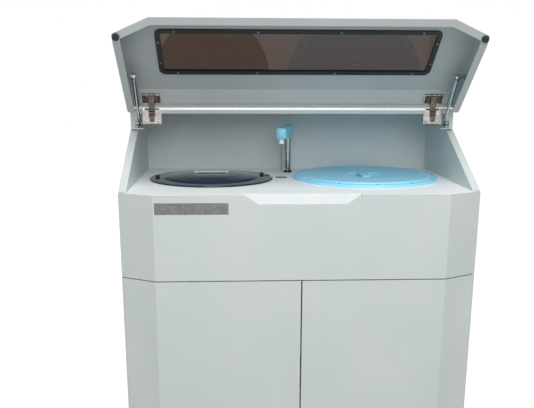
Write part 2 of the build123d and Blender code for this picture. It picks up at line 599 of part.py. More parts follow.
def lid_shell():
    """Deep folded lid: level rear band, sloping panel, leaning front, turned-in rim."""
    rim = EDGE + LID_RIM_HEIGHT
    kink = CHAMFER_DEPTH + LID_RIM_FLAT
    corner = rim + SIDE_SLOPE * (LID_REAR_CORNER - kink)
    front = LID_SETBACK
    brow = front + LID_FRONT_LEAN
    outline = [(front, rim), (brow, skin_height(brow)), (LID_BEND, LEDGE_TOP),
               (LID_REAR, LEDGE_TOP), (LID_REAR, corner + 20), (LID_REAR_CORNER, corner), (kink, rim)]
    t = LID_SHEET
    drop = t / cos(radians(SLOPE_ANGLE))
    lean = t / sin(atan2(skin_height(brow) - rim, LID_FRONT_LEAN))
    top = LEDGE_TOP - t
    bend = LID_BEND - (drop - t) / SIDE_SLOPE
    hollow = [(front + lean, rim + t), (brow + lean, skin_height(brow + lean) - drop),
              (bend, top), (LID_REAR + 5, top), (LID_REAR + 5, corner + t + 20),
              (LID_REAR_CORNER, corner + drop), (kink, rim + drop)]
    mouth_end = LID_REAR + 5
    mouth = [(0, rim - 20), (0, rim + 2 * t), (kink, rim + 2 * t + 2),
             (LID_REAR - LID_HEM, top - LID_HEM), (mouth_end, top - LID_HEM), (mouth_end, rim - 20)]
    shell = side_profile(outline, -HALF, HALF) & plan(0, rim - 1, LEDGE_TOP + 1, front)
    shell -= side_profile(hollow, -HALF, HALF) & plan(t, rim - 1, LEDGE_TOP + 1, front)
    opening = side_profile(mouth, -HALF + LID_RIM_WIDTH, HALF - LID_RIM_WIDTH)
    shell -= opening & plan(LID_RIM_WIDTH, rim - 30, LEDGE_TOP + 1, front)
    side = HALF - t
    shell += box(-side, side, LID_REAR - LID_HEM, LID_REAR, LEDGE_TOP - LID_HEM, LEDGE_TOP - 1)
    return shell - window_block(WINDOW_HALF_WIDTH - GASKET_WIDTH / 2 + 1, 4 * LID_SHEET, GASKET_WIDTH / 2 - 1)


def window_plane():
    """Middle plane of the sloping skin, centred on the window; its Z leaves the outside."""
    y = (WINDOW_FRONT + WINDOW_REAR) / 2
    drop = LID_SHEET / 2 / cos(radians(SLOPE_ANGLE))
    return Plane(origin=(0, y, skin_height(y) - drop), x_dir=(1, 0, 0),
                 z_dir=(0, -sin(radians(SLOPE_ANGLE)), cos(radians(SLOPE_ANGLE))))


def window_block(half_width, thickness, inset):
    """A rounded plate in the window's plane, drawn in from the gasket's outline by inset."""
    length = (WINDOW_REAR - WINDOW_FRONT) / cos(radians(SLOPE_ANGLE)) - 2 * inset
    radius = max(WINDOW_RADIUS - inset, 2)
    face = window_plane() * RectangleRounded(2 * half_width, length, radius)
    return extrude(face, amount=thickness / 2, both=True)


def lid_window():
    """Smoked glass pane held in the gasket's inner groove."""
    return window_block(WINDOW_HALF_WIDTH - GASKET_WIDTH / 2 - 1, GLASS_THICKNESS, GASKET_WIDTH / 2 + 1)


def window_gasket():
    """Rubber frame with one groove for the lid's skin and one for the pane."""
    frame = window_block(WINDOW_HALF_WIDTH, 10, 0)
    frame -= window_block(WINDOW_HALF_WIDTH - GASKET_WIDTH, 12, GASKET_WIDTH)
    middle = GASKET_WIDTH / 2
    skin = window_block(WINDOW_HALF_WIDTH + 5, LID_SHEET + 0.1, -5)
    skin -= window_block(WINDOW_HALF_WIDTH - middle + 0.9, LID_SHEET + 1, middle - 0.9)
    return frame - skin - window_block(WINDOW_HALF_WIDTH - middle - 0.9, GLASS_THICKNESS + 0.1, middle + 0.9)


def window_screws():
    """Twelve pan-head screws round the window, on the inside."""
    length = (WINDOW_REAR - WINDOW_FRONT) / cos(radians(SLOPE_ANGLE))
    across = length / 2 - GASKET_WIDTH / 2
    along = WINDOW_HALF_WIDTH - GASKET_WIDTH / 2
    last = along - WINDOW_SCREW_CORNER
    places = [(x, y) for y in (-across, across) for x in (-last, -last / 3, last / 3, last)]
    places += [(x, y) for x in (-along, along) for y in (-across / 2, across / 2)]
    head = Cylinder(WINDOW_SCREW_RADIUS, 2, align=(Align.CENTER, Align.CENTER, Align.MAX))
    head = fillet(head.edges().group_by(Axis.Z)[0], 0.9)
    plane = window_plane()
    return Compound([Location(plane.offset(-5)) * Pos(x, y, 0) * head for x, y in places])


def lid_bumpers():
    """Rubber buttons under the lid's front corners."""
    rim = EDGE + LID_RIM_HEIGHT
    place = (HALF - BUMPER_RADIUS - 0.5, CHAMFER_DEPTH + BUMPER_RADIUS - 2.5)
    button = disc(-place[0], place[1], rim - BUMPER_HEIGHT, rim, BUMPER_RADIUS)
    button = fillet(button.edges().group_by(Axis.Z)[0], 1.5)
    button -= disc(-place[0], place[1], rim - BUMPER_HEIGHT - 1, rim - BUMPER_HEIGHT + 2, 3.5)
    return Compound([button, mirrored(button)])


def hinge_cups():
    """Moving halves of the lid hinges: cup housing, arm and knuckle."""
    under = LEDGE_TOP - LID_SHEET
    half = HINGE_HALF_WIDTH + 2
    flange = box(-half, half, 299, LID_REAR - LID_HEM - 0.5, under - 3, under)
    flange = fillet(flange.edges().filter_by(Axis.Z), 6)
    flange -= disc(0, 315, 0, under - 1.5, 15)
    rim = ring(0, 315, under - 6, under - 1, 17.5, 15)
    rim &= box(-half, half, 299, LID_REAR - LID_HEM - 0.5, 0, LEDGE_TOP)
    arm_low = PIVOT_Z - 2
    arm = [(306, under - 1), (306, under - 6), (326, arm_low), (LID_PIVOT_Y, arm_low),
           (LID_PIVOT_Y, arm_low + 4.5), (328, arm_low + 4.5), (314, under - 1)]
    cup = flange + rim + side_profile(arm, -KNUCKLE_HALF, KNUCKLE_HALF)
    cup += bar_x(-KNUCKLE_HALF, KNUCKLE_HALF, LID_PIVOT_Y, PIVOT_Z, KNUCKLE_RADIUS)
    cup -= bar_x(-30, 30, LID_PIVOT_Y, PIVOT_Z, HINGE_PIN_RADIUS + SHAFT_CLEARANCE)
    return Compound([Pos(x, 0, 0) * cup for x in (-HINGE_X, HINGE_X)])


def spring_studs():
    """Studs inside the lid's side walls that carry the gas springs."""
    y, z = SPRING_TOP[0], EDGE + SPRING_TOP[1]
    stud = bar_x(-HALF + LID_SHEET, -SPRING_X + 6, y, z, SPRING_STUD)
    stud += bar_x(-HALF + LID_SHEET, -HALF + LID_SHEET + 3, y, z, 11)
    stud += bar_x(-SPRING_X - 12, -SPRING_X - 8.3, y, z, 7)
    return Compound([stud, mirrored(stud)])


def spring_frame():
    """Plane at the open lid's stud with Z along the spring, and the spring's open length."""
    top = opened_point(SPRING_TOP[0], EDGE + SPRING_TOP[1])
    foot = (SPRING_FOOT[0], EDGE + SPRING_FOOT[1])
    along = (foot[0] - top[0], foot[1] - top[1])
    length = hypot(*along)
    plane = Plane(origin=(-SPRING_X, top[0], top[1]), x_dir=(1, 0, 0),
                  z_dir=(0, along[0] / length, along[1] / length))
    return Location(plane), length


def along_spring(z0, z1, radius):
    """A round length on the spring's own axis."""
    return Pos(0, 0, (z0 + z1) / 2) * Cylinder(radius, z1 - z0)


def spring_tube():
    """Pressure tube with its eye on the lid's stud."""
    place, _ = spring_frame()
    tube = along_spring(11, TUBE_LENGTH, TUBE_RADIUS)
    tube -= along_spring(15, TUBE_LENGTH - 4, TUBE_BORE + SHAFT_CLEARANCE)
    tube -= along_spring(TUBE_LENGTH - 5, TUBE_LENGTH + 1, ROD_RADIUS + SHAFT_CLEARANCE)
    eye = along_spring(5, 13, 5) + Rot(0, 90, 0) * Cylinder(8, 12)
    eye -= Rot(0, 90, 0) * Cylinder(SPRING_STUD + SHAFT_CLEARANCE, 40)
    return place * (tube + eye)


def spring_rod():
    """Piston and rod, with the socket that meets the foot's stud."""
    place, length = spring_frame()
    rod = along_spring(58, 66, TUBE_BORE) + along_spring(60, length - 3, ROD_RADIUS)
    socket = Pos(0, 0, length) * Rot(0, 90, 0) * Cylinder(6.5, 12)
    return place * (rod + socket)


# ---- wells, rotors and covers --------------------------------------------------------------------------
def well(x, y, radius, depth):
    """Round tub hung under the worktop, with a bearing boss in its floor."""
    top = WORKTOP_UNDER
    tub = disc(x, y, top - depth, top, radius + WELL_WALL)
    tub += disc(x, y, top - WELL_WALL - 1, top, radius + WELL_FLANGE)
    tub -= disc(x, y, top - depth + WELL_WALL, top + 1, radius)
    tub += disc(x, y, top - depth - WELL_BOSS, top - depth + 10, SHAFT_RADIUS + 18)
    return tub - disc(x, y, 0, LEDGE_TOP, SHAFT_RADIUS + SHAFT_CLEARANCE)


def drive(x, y, depth):
    """Geared motor under a well: flange, gearbox and motor, bored for the shaft."""
    top = WORKTOP_UNDER - depth - WELL_BOSS
    flange, half = MOTOR_WIDTH / 2 + 10, MOTOR_WIDTH / 2
    gearbox, motor = 34, 78
    unit = box(x - flange, x + flange, y - flange, y + flange, top - 8, top)
    unit += disc(x, y, top - gearbox, top - 7, half + 2)
    unit += box(x - half, x + half, y - half, y + half, top - motor, top - gearbox + 1)
    unit = fillet(unit.edges().filter_by(Axis.Z).group_by(SortBy.LENGTH)[-1], 5)
    return unit - disc(x, y, top - gearbox + 4, top + 1, SHAFT_RADIUS + SHAFT_CLEARANCE)


def shaft(x, y, low):
    """Rotor's shaft, from its hub down through the well's boss into the gearbox."""
    return disc(x, y, low - WELL_WALL - WELL_BOSS - 30, low, SHAFT_RADIUS)


def cuvette_places():
    """Stations of the cuvettes round the wheel."""
    radius = WHEEL_RADIUS - WHEEL_RIM / 2
    return [Pos(REACTION_X, REACTION_Y, 0) * Rot(0, 0, 360 / CUVETTES * k) * Pos(radius, 0, 0)
            for k in range(CUVETTES)]


def reaction_rotor():
    """Cuvette wheel: hub, spokes and a slotted rim on the drive shaft."""
    x, y = REACTION_X, REACTION_Y
    low = WHEEL_LOW
    inner = WHEEL_RADIUS - WHEEL_RIM
    hub = SHAFT_RADIUS + 16
    wheel = ring(x, y, low, low + 14, WHEEL_RADIUS, inner)
    wheel += ring(x, y, low, low + 8, 2 * hub, hub - 4)
    for k in range(6):
        spoke = box(2 * hub - 4, inner + 2, -9, 9, low, low + 6)
        wheel += Pos(x, y, 0) * Rot(0, 0, 60 * k) * spoke
    wheel += disc(x, y, low - 5, low + 30, hub)
    wheel += shaft(x, y, low)
    half_x, half_y = (half + 0.3 for half in CUVETTE_HALF)
    for place in cuvette_places():
        wheel -= place * box(-half_x, half_x, -half_y, half_y, low - 1, low + 15)
    return wheel


def cuvettes():
    """Square cuvettes hung in the wheel by their collars."""
    low = WHEEL_LOW
    half_x, half_y = CUVETTE_HALF
    bore_x, bore_y = half_x - CUVETTE_WALL, half_y - CUVETTE_WALL
    cell = box(-half_x, half_x, -half_y, half_y, low - 10, low + 22)
    cell += box(-half_x - 2, half_x + 2, -half_y - 2, half_y + 2, low + 14, low + 17)
    cell -= box(-bore_x, bore_x, -bore_y, bore_y, low - 8, low + 23)
    return Compound([place * cell for place in cuvette_places()])


def reagent_tray():
    """Reagent carousel: floor, two rows of pockets and a lifting hub."""
    x, y = REAGENT_X, REAGENT_Y
    low = TRAY_LOW
    inner = TRAY_RADIUS - TRAY_ROW
    tray = disc(x, y, low, low + 4, TRAY_RADIUS)
    for radius in (TRAY_RADIUS, inner, TRAY_HUB):
        tray += ring(x, y, low, low + 30, radius, radius - TRAY_WALL)
    for k in range(BOTTLES):
        rib = box(inner - 0.5, TRAY_RADIUS - TRAY_WALL + 0.5, -1, 1, low, low + 26)
        tray += Pos(x, y, 0) * Rot(0, 0, 360 / BOTTLES * (k + 0.5)) * rib
    tray += disc(x, y, low, low + 62, SHAFT_RADIUS + 12)
    return tray + shaft(x, y, low)


def reagent_bottles():
    """Wedge bottles with screw caps in the outer row, round ones in the inner row."""
    low = TRAY_LOW + 4.2
    inner, outer = TRAY_RADIUS - TRAY_ROW + 4, TRAY_RADIUS - TRAY_WALL - 3
    outline = [(inner, -15), (outer, -25), (outer, 25), (inner, 15)]
    face = fillet(make_face(Polyline(*outline, close=True)).vertices(), 5)
    wedge = Pos(0, 0, low) * extrude(face, amount=56)
    neck = outer - 22
    wedge += disc(neck, 0, low + 55, low + 62, 11) + disc(neck, 0, low + 62, low + 72, 13)
    row = (TRAY_HUB + TRAY_RADIUS - TRAY_ROW - TRAY_WALL) / 2
    vial = disc(row, 0, low, low + 52, VIAL_RADIUS) + disc(row, 0, low + 51, low + 58, VIAL_RADIUS - 5)
    vial += disc(row, 0, low + 58, low + 68, VIAL_RADIUS - 3)
    centre = Pos(REAGENT_X, REAGENT_Y, 0)
    bottles = [centre * Rot(0, 0, 360 / BOTTLES * k) * wedge for k in range(BOTTLES)]
    vials = [centre * Rot(0, 0, 360 / VIALS * k) * vial for k in range(VIALS)]
    return Compound(bottles + vials)


def turned(points, x, y):
    """A closed (radius, height) outline turned about the upright through (x, y)."""
    face = make_face(Plane.XZ * Polyline(*points, close=True))
    return Pos(x, y, 0) * revolve(face, axis=Axis.Z)


def reaction_cover():
    """Smoked dome on a flat brim, with a slot in its edge on the probe's side."""
    z = WORKTOP_TOP
    r = REACTION_COVER_RADIUS
    outline = [(0, z + 21.5), (0, z + 24), (r - 130, z + 23.6), (r - 95, z + 22), (r - 72, z + 19.2),
               (r - 56, z + 14.5), (r - 48, z + 9), (r - 43, z + 5), (r - 2, z + 5), (r, z + 3), (r, z),
               (r - 28, z), (r - 31, z + 2.5), (r - 45, z + 2.5), (r - 51, z + 7), (r - 59, z + 12.2),
               (r - 74, z + 16.8), (r - 96, z + 19.5), (r - 130, z + 21.1)]
    cover = turned(outline, REACTION_X, REACTION_Y)
    centre = Pos(REACTION_X, REACTION_Y, 0)
    half = COVER_SLOT_WIDTH / 2
    slot = box(r - COVER_SLOT_DEPTH, r + 5, -half, half, z - 1, z + 10)
    cover -= centre * Rot(0, 0, COVER_SLOT_ANGLE) * slot
    for angle in KNOB_ANGLES:
        at = centre * Rot(0, 0, angle) * Pos(KNOB_RADIUS, 0, 0)
        cover -= at * disc(0, 0, z - 1, z + 10, KNOB_STEM + SHAFT_CLEARANCE)
    for x in (-HANDLE_FOOT, HANDLE_FOOT):
        cover -= centre * box(x - 3, x + 3, -3, 3, z + 10, z + 30)
    return cover


def cover_knob(angle):
    """Thumb knob on the smoked cover's brim, its stem through the brim's hole."""
    z = WORKTOP_TOP + 5
    knob = disc(0, 0, z, z + 4, 5) + disc(0, 0, z + 4, z + 14, 7.5) + disc(0, 0, z - 5, z + 1, KNOB_STEM)
    for k in range(12):
        knob -= Rot(0, 0, 30 * k) * Pos(8.2, 0, 0) * disc(0, 0, z + 4, z + 15, 1.2)
    return Pos(REACTION_X, REACTION_Y, 0) * Rot(0, 0, angle) * Pos(KNOB_RADIUS, 0, 0) * knob


def cover_handle():
    """Bar handle across the top of the smoked cover, on two feet."""
    z = WORKTOP_TOP + 23.8
    bar = box(-HANDLE_HALF, HANDLE_HALF, -8, 8, z + 3, z + 10)
    bar = fillet(bar.edges().filter_by(Axis.Z), 5)
    bar = fillet(bar.edges().group_by(Axis.Z)[-1], 2)
    for x in (-HANDLE_FOOT, HANDLE_FOOT):
        bar += box(x - 2.8, x + 2.8, -2.8, 2.8, z - 6, z + 4)
        bar += box(x - 5, x + 5, -7, 7, z + 0.4, z + 4)
    return Pos(REACTION_X, REACTION_Y, 0) * bar


def reagent_cover():
    """Moulded blue cover: stepped rim, raised field and a sunk round grip well."""
    z = WORKTOP_TOP
    r = REAGENT_COVER_RADIUS
    well_r = GRIP_WELL_RADIUS
    outline = [(0, z + 4), (well_r - 6, z + 4), (well_r, z + 15), (r - 38, z + 15), (r - 32, z + 9),
               (r - 4, z + 8), (r, z + 5), (r, z), (r - 14, z), (r - 15, z + 4), (r - 34, z + 5),
               (r - 40, z + 12), (well_r + 4, z + 12), (well_r - 3, z + 1), (0, z + 1)]
    cover = turned(outline, REAGENT_X, REAGENT_Y)
    for k in range(COVER_SCREWS):
        angle = COVER_SCREW_START + 360 / COVER_SCREWS * k
        turn = Pos(REAGENT_X, REAGENT_Y, 0) * Rot(0, 0, angle)
        lug = box(r - 40, r - 25, -7, 7, z + 8, z + 14)
        cover += turn * fillet(lug.edges().filter_by(Axis.Z).group_by(Axis.X)[-1], 5)
        cover -= turn * disc(r - 10, 0, z + 5.5, z + 12, 5)
    return cover


def reagent_grip():
    """Front-to-back finger bar in the blue cover's well."""
    z = WORKTOP_TOP
    half = GRIP_WELL_RADIUS - 9
    grip = box(-17, 17, -half, half, z + 4, z + 17)
    grip = fillet(grip.edges().group_by(Axis.Z)[-1], 4)
    return Pos(REAGENT_X, REAGENT_Y, 0) * grip


# ---- probe -----------------------------------------------------------------------------------------------
def needle_place():
    """Where the needle stands over the worktop."""
    turn = radians(PROBE_TURN)
    return PROBE_X - PROBE_REACH * sin(turn), PROBE_Y - PROBE_REACH * cos(turn)


def probe_collar():
    """Black guide collar on the worktop round the probe's column."""
    z = WORKTOP_TOP
    bore = PROBE_RADIUS + SHAFT_CLEARANCE
    sleeve = ring(PROBE_X, PROBE_Y, z - 12, z + 1, PROBE_RADIUS + 2.5, bore)
    return sleeve + ring(PROBE_X, PROBE_Y, z, z + 6, PROBE_RADIUS + 5, bore)


def probe_tower():
    """Frame under the worktop: foot, back plate and two ears on the worktop's underside."""
    z = WORKTOP_UNDER
    x, y = PROBE_X, PROBE_Y
    low = DECK_TOP
    half, plate = TOWER_HALF, TOWER_PLATE
    back = y + GUIDE_BACK + 50
    tower = box(x - half, x + half, y + 18, back, z - 16, z - 10)
    tower += box(x - half, x + half, back - plate, back, low, z - 10)
    tower += box(x - half, x + half, y + 14, back, low, low + plate)
    for x0 in (x - half, x + half - plate):
        tower += box(x0, x0 + plate, back - 30, back, z - 40, z)
    return tower


def probe_guides():
    """Guide rod and lead screw of the probe's lift."""
    x, y = PROBE_X, PROBE_Y + GUIDE_BACK
    low, high = DECK_TOP + TOWER_PLATE, WORKTOP_UNDER - 16
    return Compound([disc(x - GUIDE_SPREAD, y, low, high, GUIDE_RADIUS),
                     disc(x + GUIDE_SPREAD, y, low, high, SCREW_RADIUS)])


def probe_carriage():
    """Lift carriage that runs on the guides and carries the column's bearing."""
    x, y = PROBE_X, PROBE_Y
    low, high = CARRIAGE_LOW, CARRIAGE_LOW + CARRIAGE_HEIGHT
    half = GUIDE_SPREAD + 12
    block = box(x - half, x + half, y - 16, y + GUIDE_BACK + 14, low, high)
    for hole_x, hole_y, radius in ((x - GUIDE_SPREAD, y + GUIDE_BACK, GUIDE_RADIUS),
                                   (x + GUIDE_SPREAD, y + GUIDE_BACK, SCREW_RADIUS),
                                   (x, y, JOURNAL_RADIUS)):
        block -= disc(hole_x, hole_y, low - 1, high + 1, radius + SHAFT_CLEARANCE)
    return block


def probe_column():
    """Polished column with its journal in the carriage."""
    x, y = PROBE_X, PROBE_Y
    low, high = CARRIAGE_LOW, CARRIAGE_LOW + CARRIAGE_HEIGHT
    column = disc(x, y, high + 0.05, EDGE + PROBE_ARM_BOTTOM + 12, PROBE_RADIUS)
    column += disc(x, y, low - 6, high + 1, JOURNAL_RADIUS)
    return column + disc(x, y, low - 10, low - 0.05, JOURNAL_RADIUS + 5)


def probe_arm():
    """Light blue moulded arm: a deep round head, tapering to a square nose."""
    low = EDGE + PROBE_ARM_BOTTOM
    end = -PROBE_REACH - 12
    head = disc(0, 0, low, low + PROBE_ARM_HEIGHT, 20)
    beam = [(-19, 0), (-17, end), (17, end), (19, 0)]
    body = Pos(0, 0, low + 2) * extrude(make_face(Polyline(*beam, close=True)), amount=PROBE_ARM_HEIGHT - 2)
    body = fillet(body.edges().filter_by(Axis.Z).group_by(Axis.Y)[0], 6)
    arm = head + body
    arm = fillet(arm.edges().group_by(Axis.Z)[-1], 5)
    arm -= disc(0, 0, low - 1, low + 12, PROBE_RADIUS)
    arm -= disc(0, -PROBE_REACH, low, low + 10, 7)
    return Pos(PROBE_X, PROBE_Y, 0) * Rot(0, 0, -PROBE_TURN) * arm


def probe_nozzle():
    """White needle holder under the arm's nose."""
    x, y = needle_place()
    low = EDGE + PROBE_ARM_BOTTOM
    holder = disc(x, y, low - 4, low + 2, 9) + disc(x, y, low + 1, low + 10, 7)
    return holder - disc(x, y, low - 10, low + 12, NEEDLE_RADIUS)


def probe_needle():
    """Thin sampling needle."""
    x, y = needle_place()
    return disc(x, y, EDGE + NEEDLE_TIP, EDGE + PROBE_ARM_BOTTOM + 9, NEEDLE_RADIUS)


def wash_station():
    """Rinse cup in the worktop under the parked needle."""
    x, y = needle_place()
    z = WORKTOP_TOP
    half_x, half_y = WASH_HALF
    wall = 2.6
    cup = box(x - half_x - 5, x + half_x + 5, y - half_y - 5, y + half_y + 5, z, z + 1)
    cup += box(x - half_x - wall, x + half_x + wall, y - half_y - wall, y + half_y + wall,
               z - WASH_DEPTH - 4, z + 0.5)
    cup -= box(x - half_x, x + half_x, y - half_y, y + half_y, z - WASH_DEPTH, z + 2)
    return cup - disc(x, y, z - WASH_DEPTH - 10, z - WASH_DEPTH + 10, 3)


# ---- equipment below the worktop ---------------------------------------------------------------------
def photometer():
    """Lamp house and detector block beside the reaction well."""
    z = WORKTOP_UNDER - REACTION_WELL_DEPTH
    x = REACTION_X
    y = REACTION_Y + REACTION_WELL_RADIUS + WELL_WALL + 1
    house = box(x - 35, x + 35, y, y + 60, z - 30, z + 50)
    for k in range(6):
        house -= box(x - 30, x + 30, y + 8 + 8 * k, y + 11 + 8 * k, z + 40, z + 51)
    leg = box(x - 30, x + 30, y + 10, y + 50, DECK_TOP, z - 30)
    return house + leg


def syringe_pump():
    """Dosing pump body with valve head and clear barrel, standing on the deck."""
    x, y, z = PUMP_X, PUMP_FRONT, DECK_TOP
    head = z + PUMP_HEIGHT - 30
    body = box(x - 30, x + 30, y, y + 60, z, z + PUMP_HEIGHT)
    body += box(x - 20, x + 20, y - BARREL_FRONT - 11, y + 1, head, z + PUMP_HEIGHT)
    return body + ring(x, y - BARREL_FRONT, head - 58, head, BARREL_BORE + 3, BARREL_BORE + SHAFT_CLEARANCE)


def syringe_plunger():
    """Plunger with its drive block, at the top of its stroke."""
    x, y = PUMP_X, PUMP_FRONT - BARREL_FRONT
    head = DECK_TOP + PUMP_HEIGHT - 30
    rod = disc(x, y, head - 70, head - 12, 3.5) + disc(x, y, head - 12, head - 2, BARREL_BORE)
    return rod + box(x - 14, x + 14, y - 10, PUMP_FRONT - 0.5, head - 78, head - 68)


def tanks():
    """Two rectangular jerrycans with sloping shoulders, necks, screw caps and grips."""
    left, right = TANK_SIDE_GAP - INNER_SIDE, -TANK_INNER_GAP
    wide = (right - left - TANK_GAP) / 2
    low = BASE_HEIGHT + SHEET
    y0, y1 = TANK_FRONT, TANK_REAR
    cans = []
    for x0, height in ((left, WATER_HEIGHT), (right - wide, WASTE_HEIGHT)):
        top = low + height
        can = box(x0, x0 + wide, y0, y1, low, top)
        can = fillet(can.edges().filter_by(Axis.Z), 22)
        can = chamfer(can.edges().group_by(Axis.Z)[-1], 14)
        x, y = x0 + wide / 2, y0 + 70
        can += disc(x, y, top - 1, top + 12, 20) + disc(x, y, top + 12, top + 32, 26)
        grip = box(x - 12, x + 12, y0 + 140, y1 - 60, top - 5, top + 30)
        grip -= box(x - 13, x + 13, y0 + 162, y1 - 82, top, top + 16)
        cans.append(can + fillet(grip.edges().filter_by(Axis.X).group_by(Axis.Z)[-1], 10))
    return Compound(cans)


def power_supply():
    """Vented power supply on the right bay's floor."""
    low, top = BASE_HEIGHT + SHEET, BASE_HEIGHT + SHEET + SUPPLY_HEIGHT
    x1, y1 = INNER_SIDE - SUPPLY_SIDE_GAP, DEPTH - SUPPLY_REAR_GAP
    x0, y0 = x1 - SUPPLY_WIDTH, y1 - SUPPLY_LENGTH
    unit = box(x0, x1, y0, y1, low, top)
    for k in range(9):
        unit -= box(x0 + 22 + 20 * k, x0 + 30 + 20 * k, y0 + 30, y1 - 30, top - 4, top + 1)
    return unit


def control_board():
    """Control electronics on the partition: a board on spacers with its larger parts."""
    x = SHEET / 2
    face = x + BOARD_SPACER
    y0, y1, z0, z1 = BOARD_FRONT, BOARD_REAR, BOARD_LOW, BOARD_HIGH
    parts = box(face, face + 2, y0, y1, z0, z1)
    for y in (y0 + 15, y1 - 15):
        for z in (z0 + 15, z1 - 15):
            parts += bar_x(x, face + 1, y, z, 5)
    for y, z, wide, high, tall in ((50, 60, 60, 60, 14), (160, 60, 40, 90, 22), (50, 180, 110, 40, 18),
                                   (220, 180, 60, 60, 10), (250, 50, 40, 50, 26)):
        parts += box(face + 1, face + 2 + tall, y0 + y, y0 + y + wide, z0 + z, z0 + z + high)
    return parts


# ---- export ------------------------------------------------------------------------------------------
def save(shape, node):
    """Move the piece to the kept origin and write it."""
    export_step(Pos(0, -DEPTH / 2, 0) * shape, f"parts/{node}.step")


def main():
    """Build every piece and write one file for each."""
    os.makedirs("parts", exist_ok=True)
    left_panel = side_panel()
    left_tube, left_rod = spring_tube(), spring_rod()
    pieces = {
        "base_beams": base_beams(),
        "levelling_feet": levelling_feet(),
        "base_pan": base_pan(),
        "side_panel_left": left_panel,
        "side_panel_right": mirrored(left_panel),
        "rear_panel": rear_panel(),
        "connector_plate": connector_plate(),
        "rear_connectors": rear_connectors(),
        "upper_front_panel": upper_front_panel(),
        "worktop": worktop(),
        "hood_liner": hood_liner(),
        "top_ledge": top_ledge(),
        "equipment_deck": equipment_deck(),
        "centre_partition": centre_partition(),
        "door_catches": door_catches(),
        "door_hinges": door_hinges(),
        "door_left": door(-1),
        "door_right": door(1),
        "hinge_bases": hinge_bases(),
        "spring_brackets": spring_brackets(),
        "lid_shell": opened(lid_shell()),
        "lid_window": opened(lid_window()),
        "window_gasket": opened(window_gasket()),
        "window_screws": opened(window_screws()),
        "lid_bumpers": opened(lid_bumpers()),
        "hinge_cups": opened(hinge_cups()),
        "spring_studs": opened(spring_studs()),
        "spring_tube_left": left_tube,
        "spring_rod_left": left_rod,
        "spring_tube_right": mirrored(left_tube),
        "spring_rod_right": mirrored(left_rod),
        "reaction_well": well(REACTION_X, REACTION_Y, REACTION_WELL_RADIUS, REACTION_WELL_DEPTH),
        "reaction_drive": drive(REACTION_X, REACTION_Y, REACTION_WELL_DEPTH),
        "reaction_rotor": reaction_rotor(),
        "cuvettes": cuvettes(),
        "reagent_well": well(REAGENT_X, REAGENT_Y, REAGENT_WELL_RADIUS, REAGENT_WELL_DEPTH),
        "reagent_drive": drive(REAGENT_X, REAGENT_Y, REAGENT_WELL_DEPTH),
        "reagent_tray": reagent_tray(),
        "reagent_bottles": reagent_bottles(),
        "reaction_cover": reaction_cover(),
        "cover_knob_left": cover_knob(KNOB_ANGLES[0]),
        "cover_knob_right": cover_knob(KNOB_ANGLES[1]),
        "cover_handle": cover_handle(),
        "reagent_cover": reagent_cover(),
        "reagent_grip": reagent_grip(),
        "probe_collar": probe_collar(),
        "probe_tower": probe_tower(),
        "probe_guides": probe_guides(),
        "probe_carriage": probe_carriage(),
        "probe_column": probe_column(),
        "probe_arm": probe_arm(),
        "probe_nozzle": probe_nozzle(),
        "probe_needle": probe_needle(),
        "wash_station": wash_station(),
        "photometer": photometer(),
        "syringe_pump": syringe_pump(),
        "syringe_plunger": syringe_plunger(),
        "tanks": tanks(),
        "power_supply": power_supply(),
        "control_board": control_board(),
    }
    for node, shape in pieces.items():
        save(shape, node)


main()
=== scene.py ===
"""Looks of a floor-standing chemistry analyzer with its windowed lid raised.

Every length is in metres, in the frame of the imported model: +X to the viewer's right, +Y to the
rear, +Z up from the floor. Places and sizes come from the frame's own nodes, or are named here.
Outlines of turned pieces are pairs (radius, height) in millimetres.
"""
import json
from math import cos, pi, radians, sin

import bmesh
import bpy
import numpy as np
from mathutils import Matrix, Vector


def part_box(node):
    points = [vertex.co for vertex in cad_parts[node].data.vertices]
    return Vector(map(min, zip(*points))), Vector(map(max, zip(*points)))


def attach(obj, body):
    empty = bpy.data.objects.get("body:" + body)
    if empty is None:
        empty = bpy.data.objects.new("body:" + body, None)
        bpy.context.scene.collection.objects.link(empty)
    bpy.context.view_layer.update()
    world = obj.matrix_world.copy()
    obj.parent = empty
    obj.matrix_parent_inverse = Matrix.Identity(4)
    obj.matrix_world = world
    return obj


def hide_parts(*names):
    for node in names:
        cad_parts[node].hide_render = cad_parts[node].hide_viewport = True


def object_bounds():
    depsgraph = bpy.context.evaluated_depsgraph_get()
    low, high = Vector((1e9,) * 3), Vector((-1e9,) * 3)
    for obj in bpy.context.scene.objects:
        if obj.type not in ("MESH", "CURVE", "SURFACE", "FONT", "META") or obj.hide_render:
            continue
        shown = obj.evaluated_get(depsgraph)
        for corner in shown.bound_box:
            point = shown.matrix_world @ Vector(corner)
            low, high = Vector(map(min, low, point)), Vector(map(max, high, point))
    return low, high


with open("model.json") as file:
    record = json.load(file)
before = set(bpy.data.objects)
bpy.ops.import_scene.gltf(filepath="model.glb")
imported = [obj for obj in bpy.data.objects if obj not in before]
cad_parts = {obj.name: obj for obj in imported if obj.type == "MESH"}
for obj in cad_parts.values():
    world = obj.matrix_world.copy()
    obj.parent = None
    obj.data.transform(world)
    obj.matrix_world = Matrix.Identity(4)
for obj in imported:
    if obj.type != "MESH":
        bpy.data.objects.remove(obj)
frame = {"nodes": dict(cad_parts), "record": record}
CAD_BOX = [list(corner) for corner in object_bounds()]
NODES = frame["nodes"]
MM = 0.001

# ---- camera: fitted to the edges of the cabinet in the photograph ------------------------------
CAMERA_PLACE = (-0.1787, -2.1939, 1.1773)
CAMERA_PITCH = 0.2510          # radians below the horizon
CAMERA_YAW = 0.0484            # radians towards +X
CAMERA_ROLL = 0.0032
CAMERA_SENSOR = 36.0           # width of the frame in millimetres
CAMERA_LENS = 47.80
CAMERA_SHIFT = (-0.00584, 0.10333)

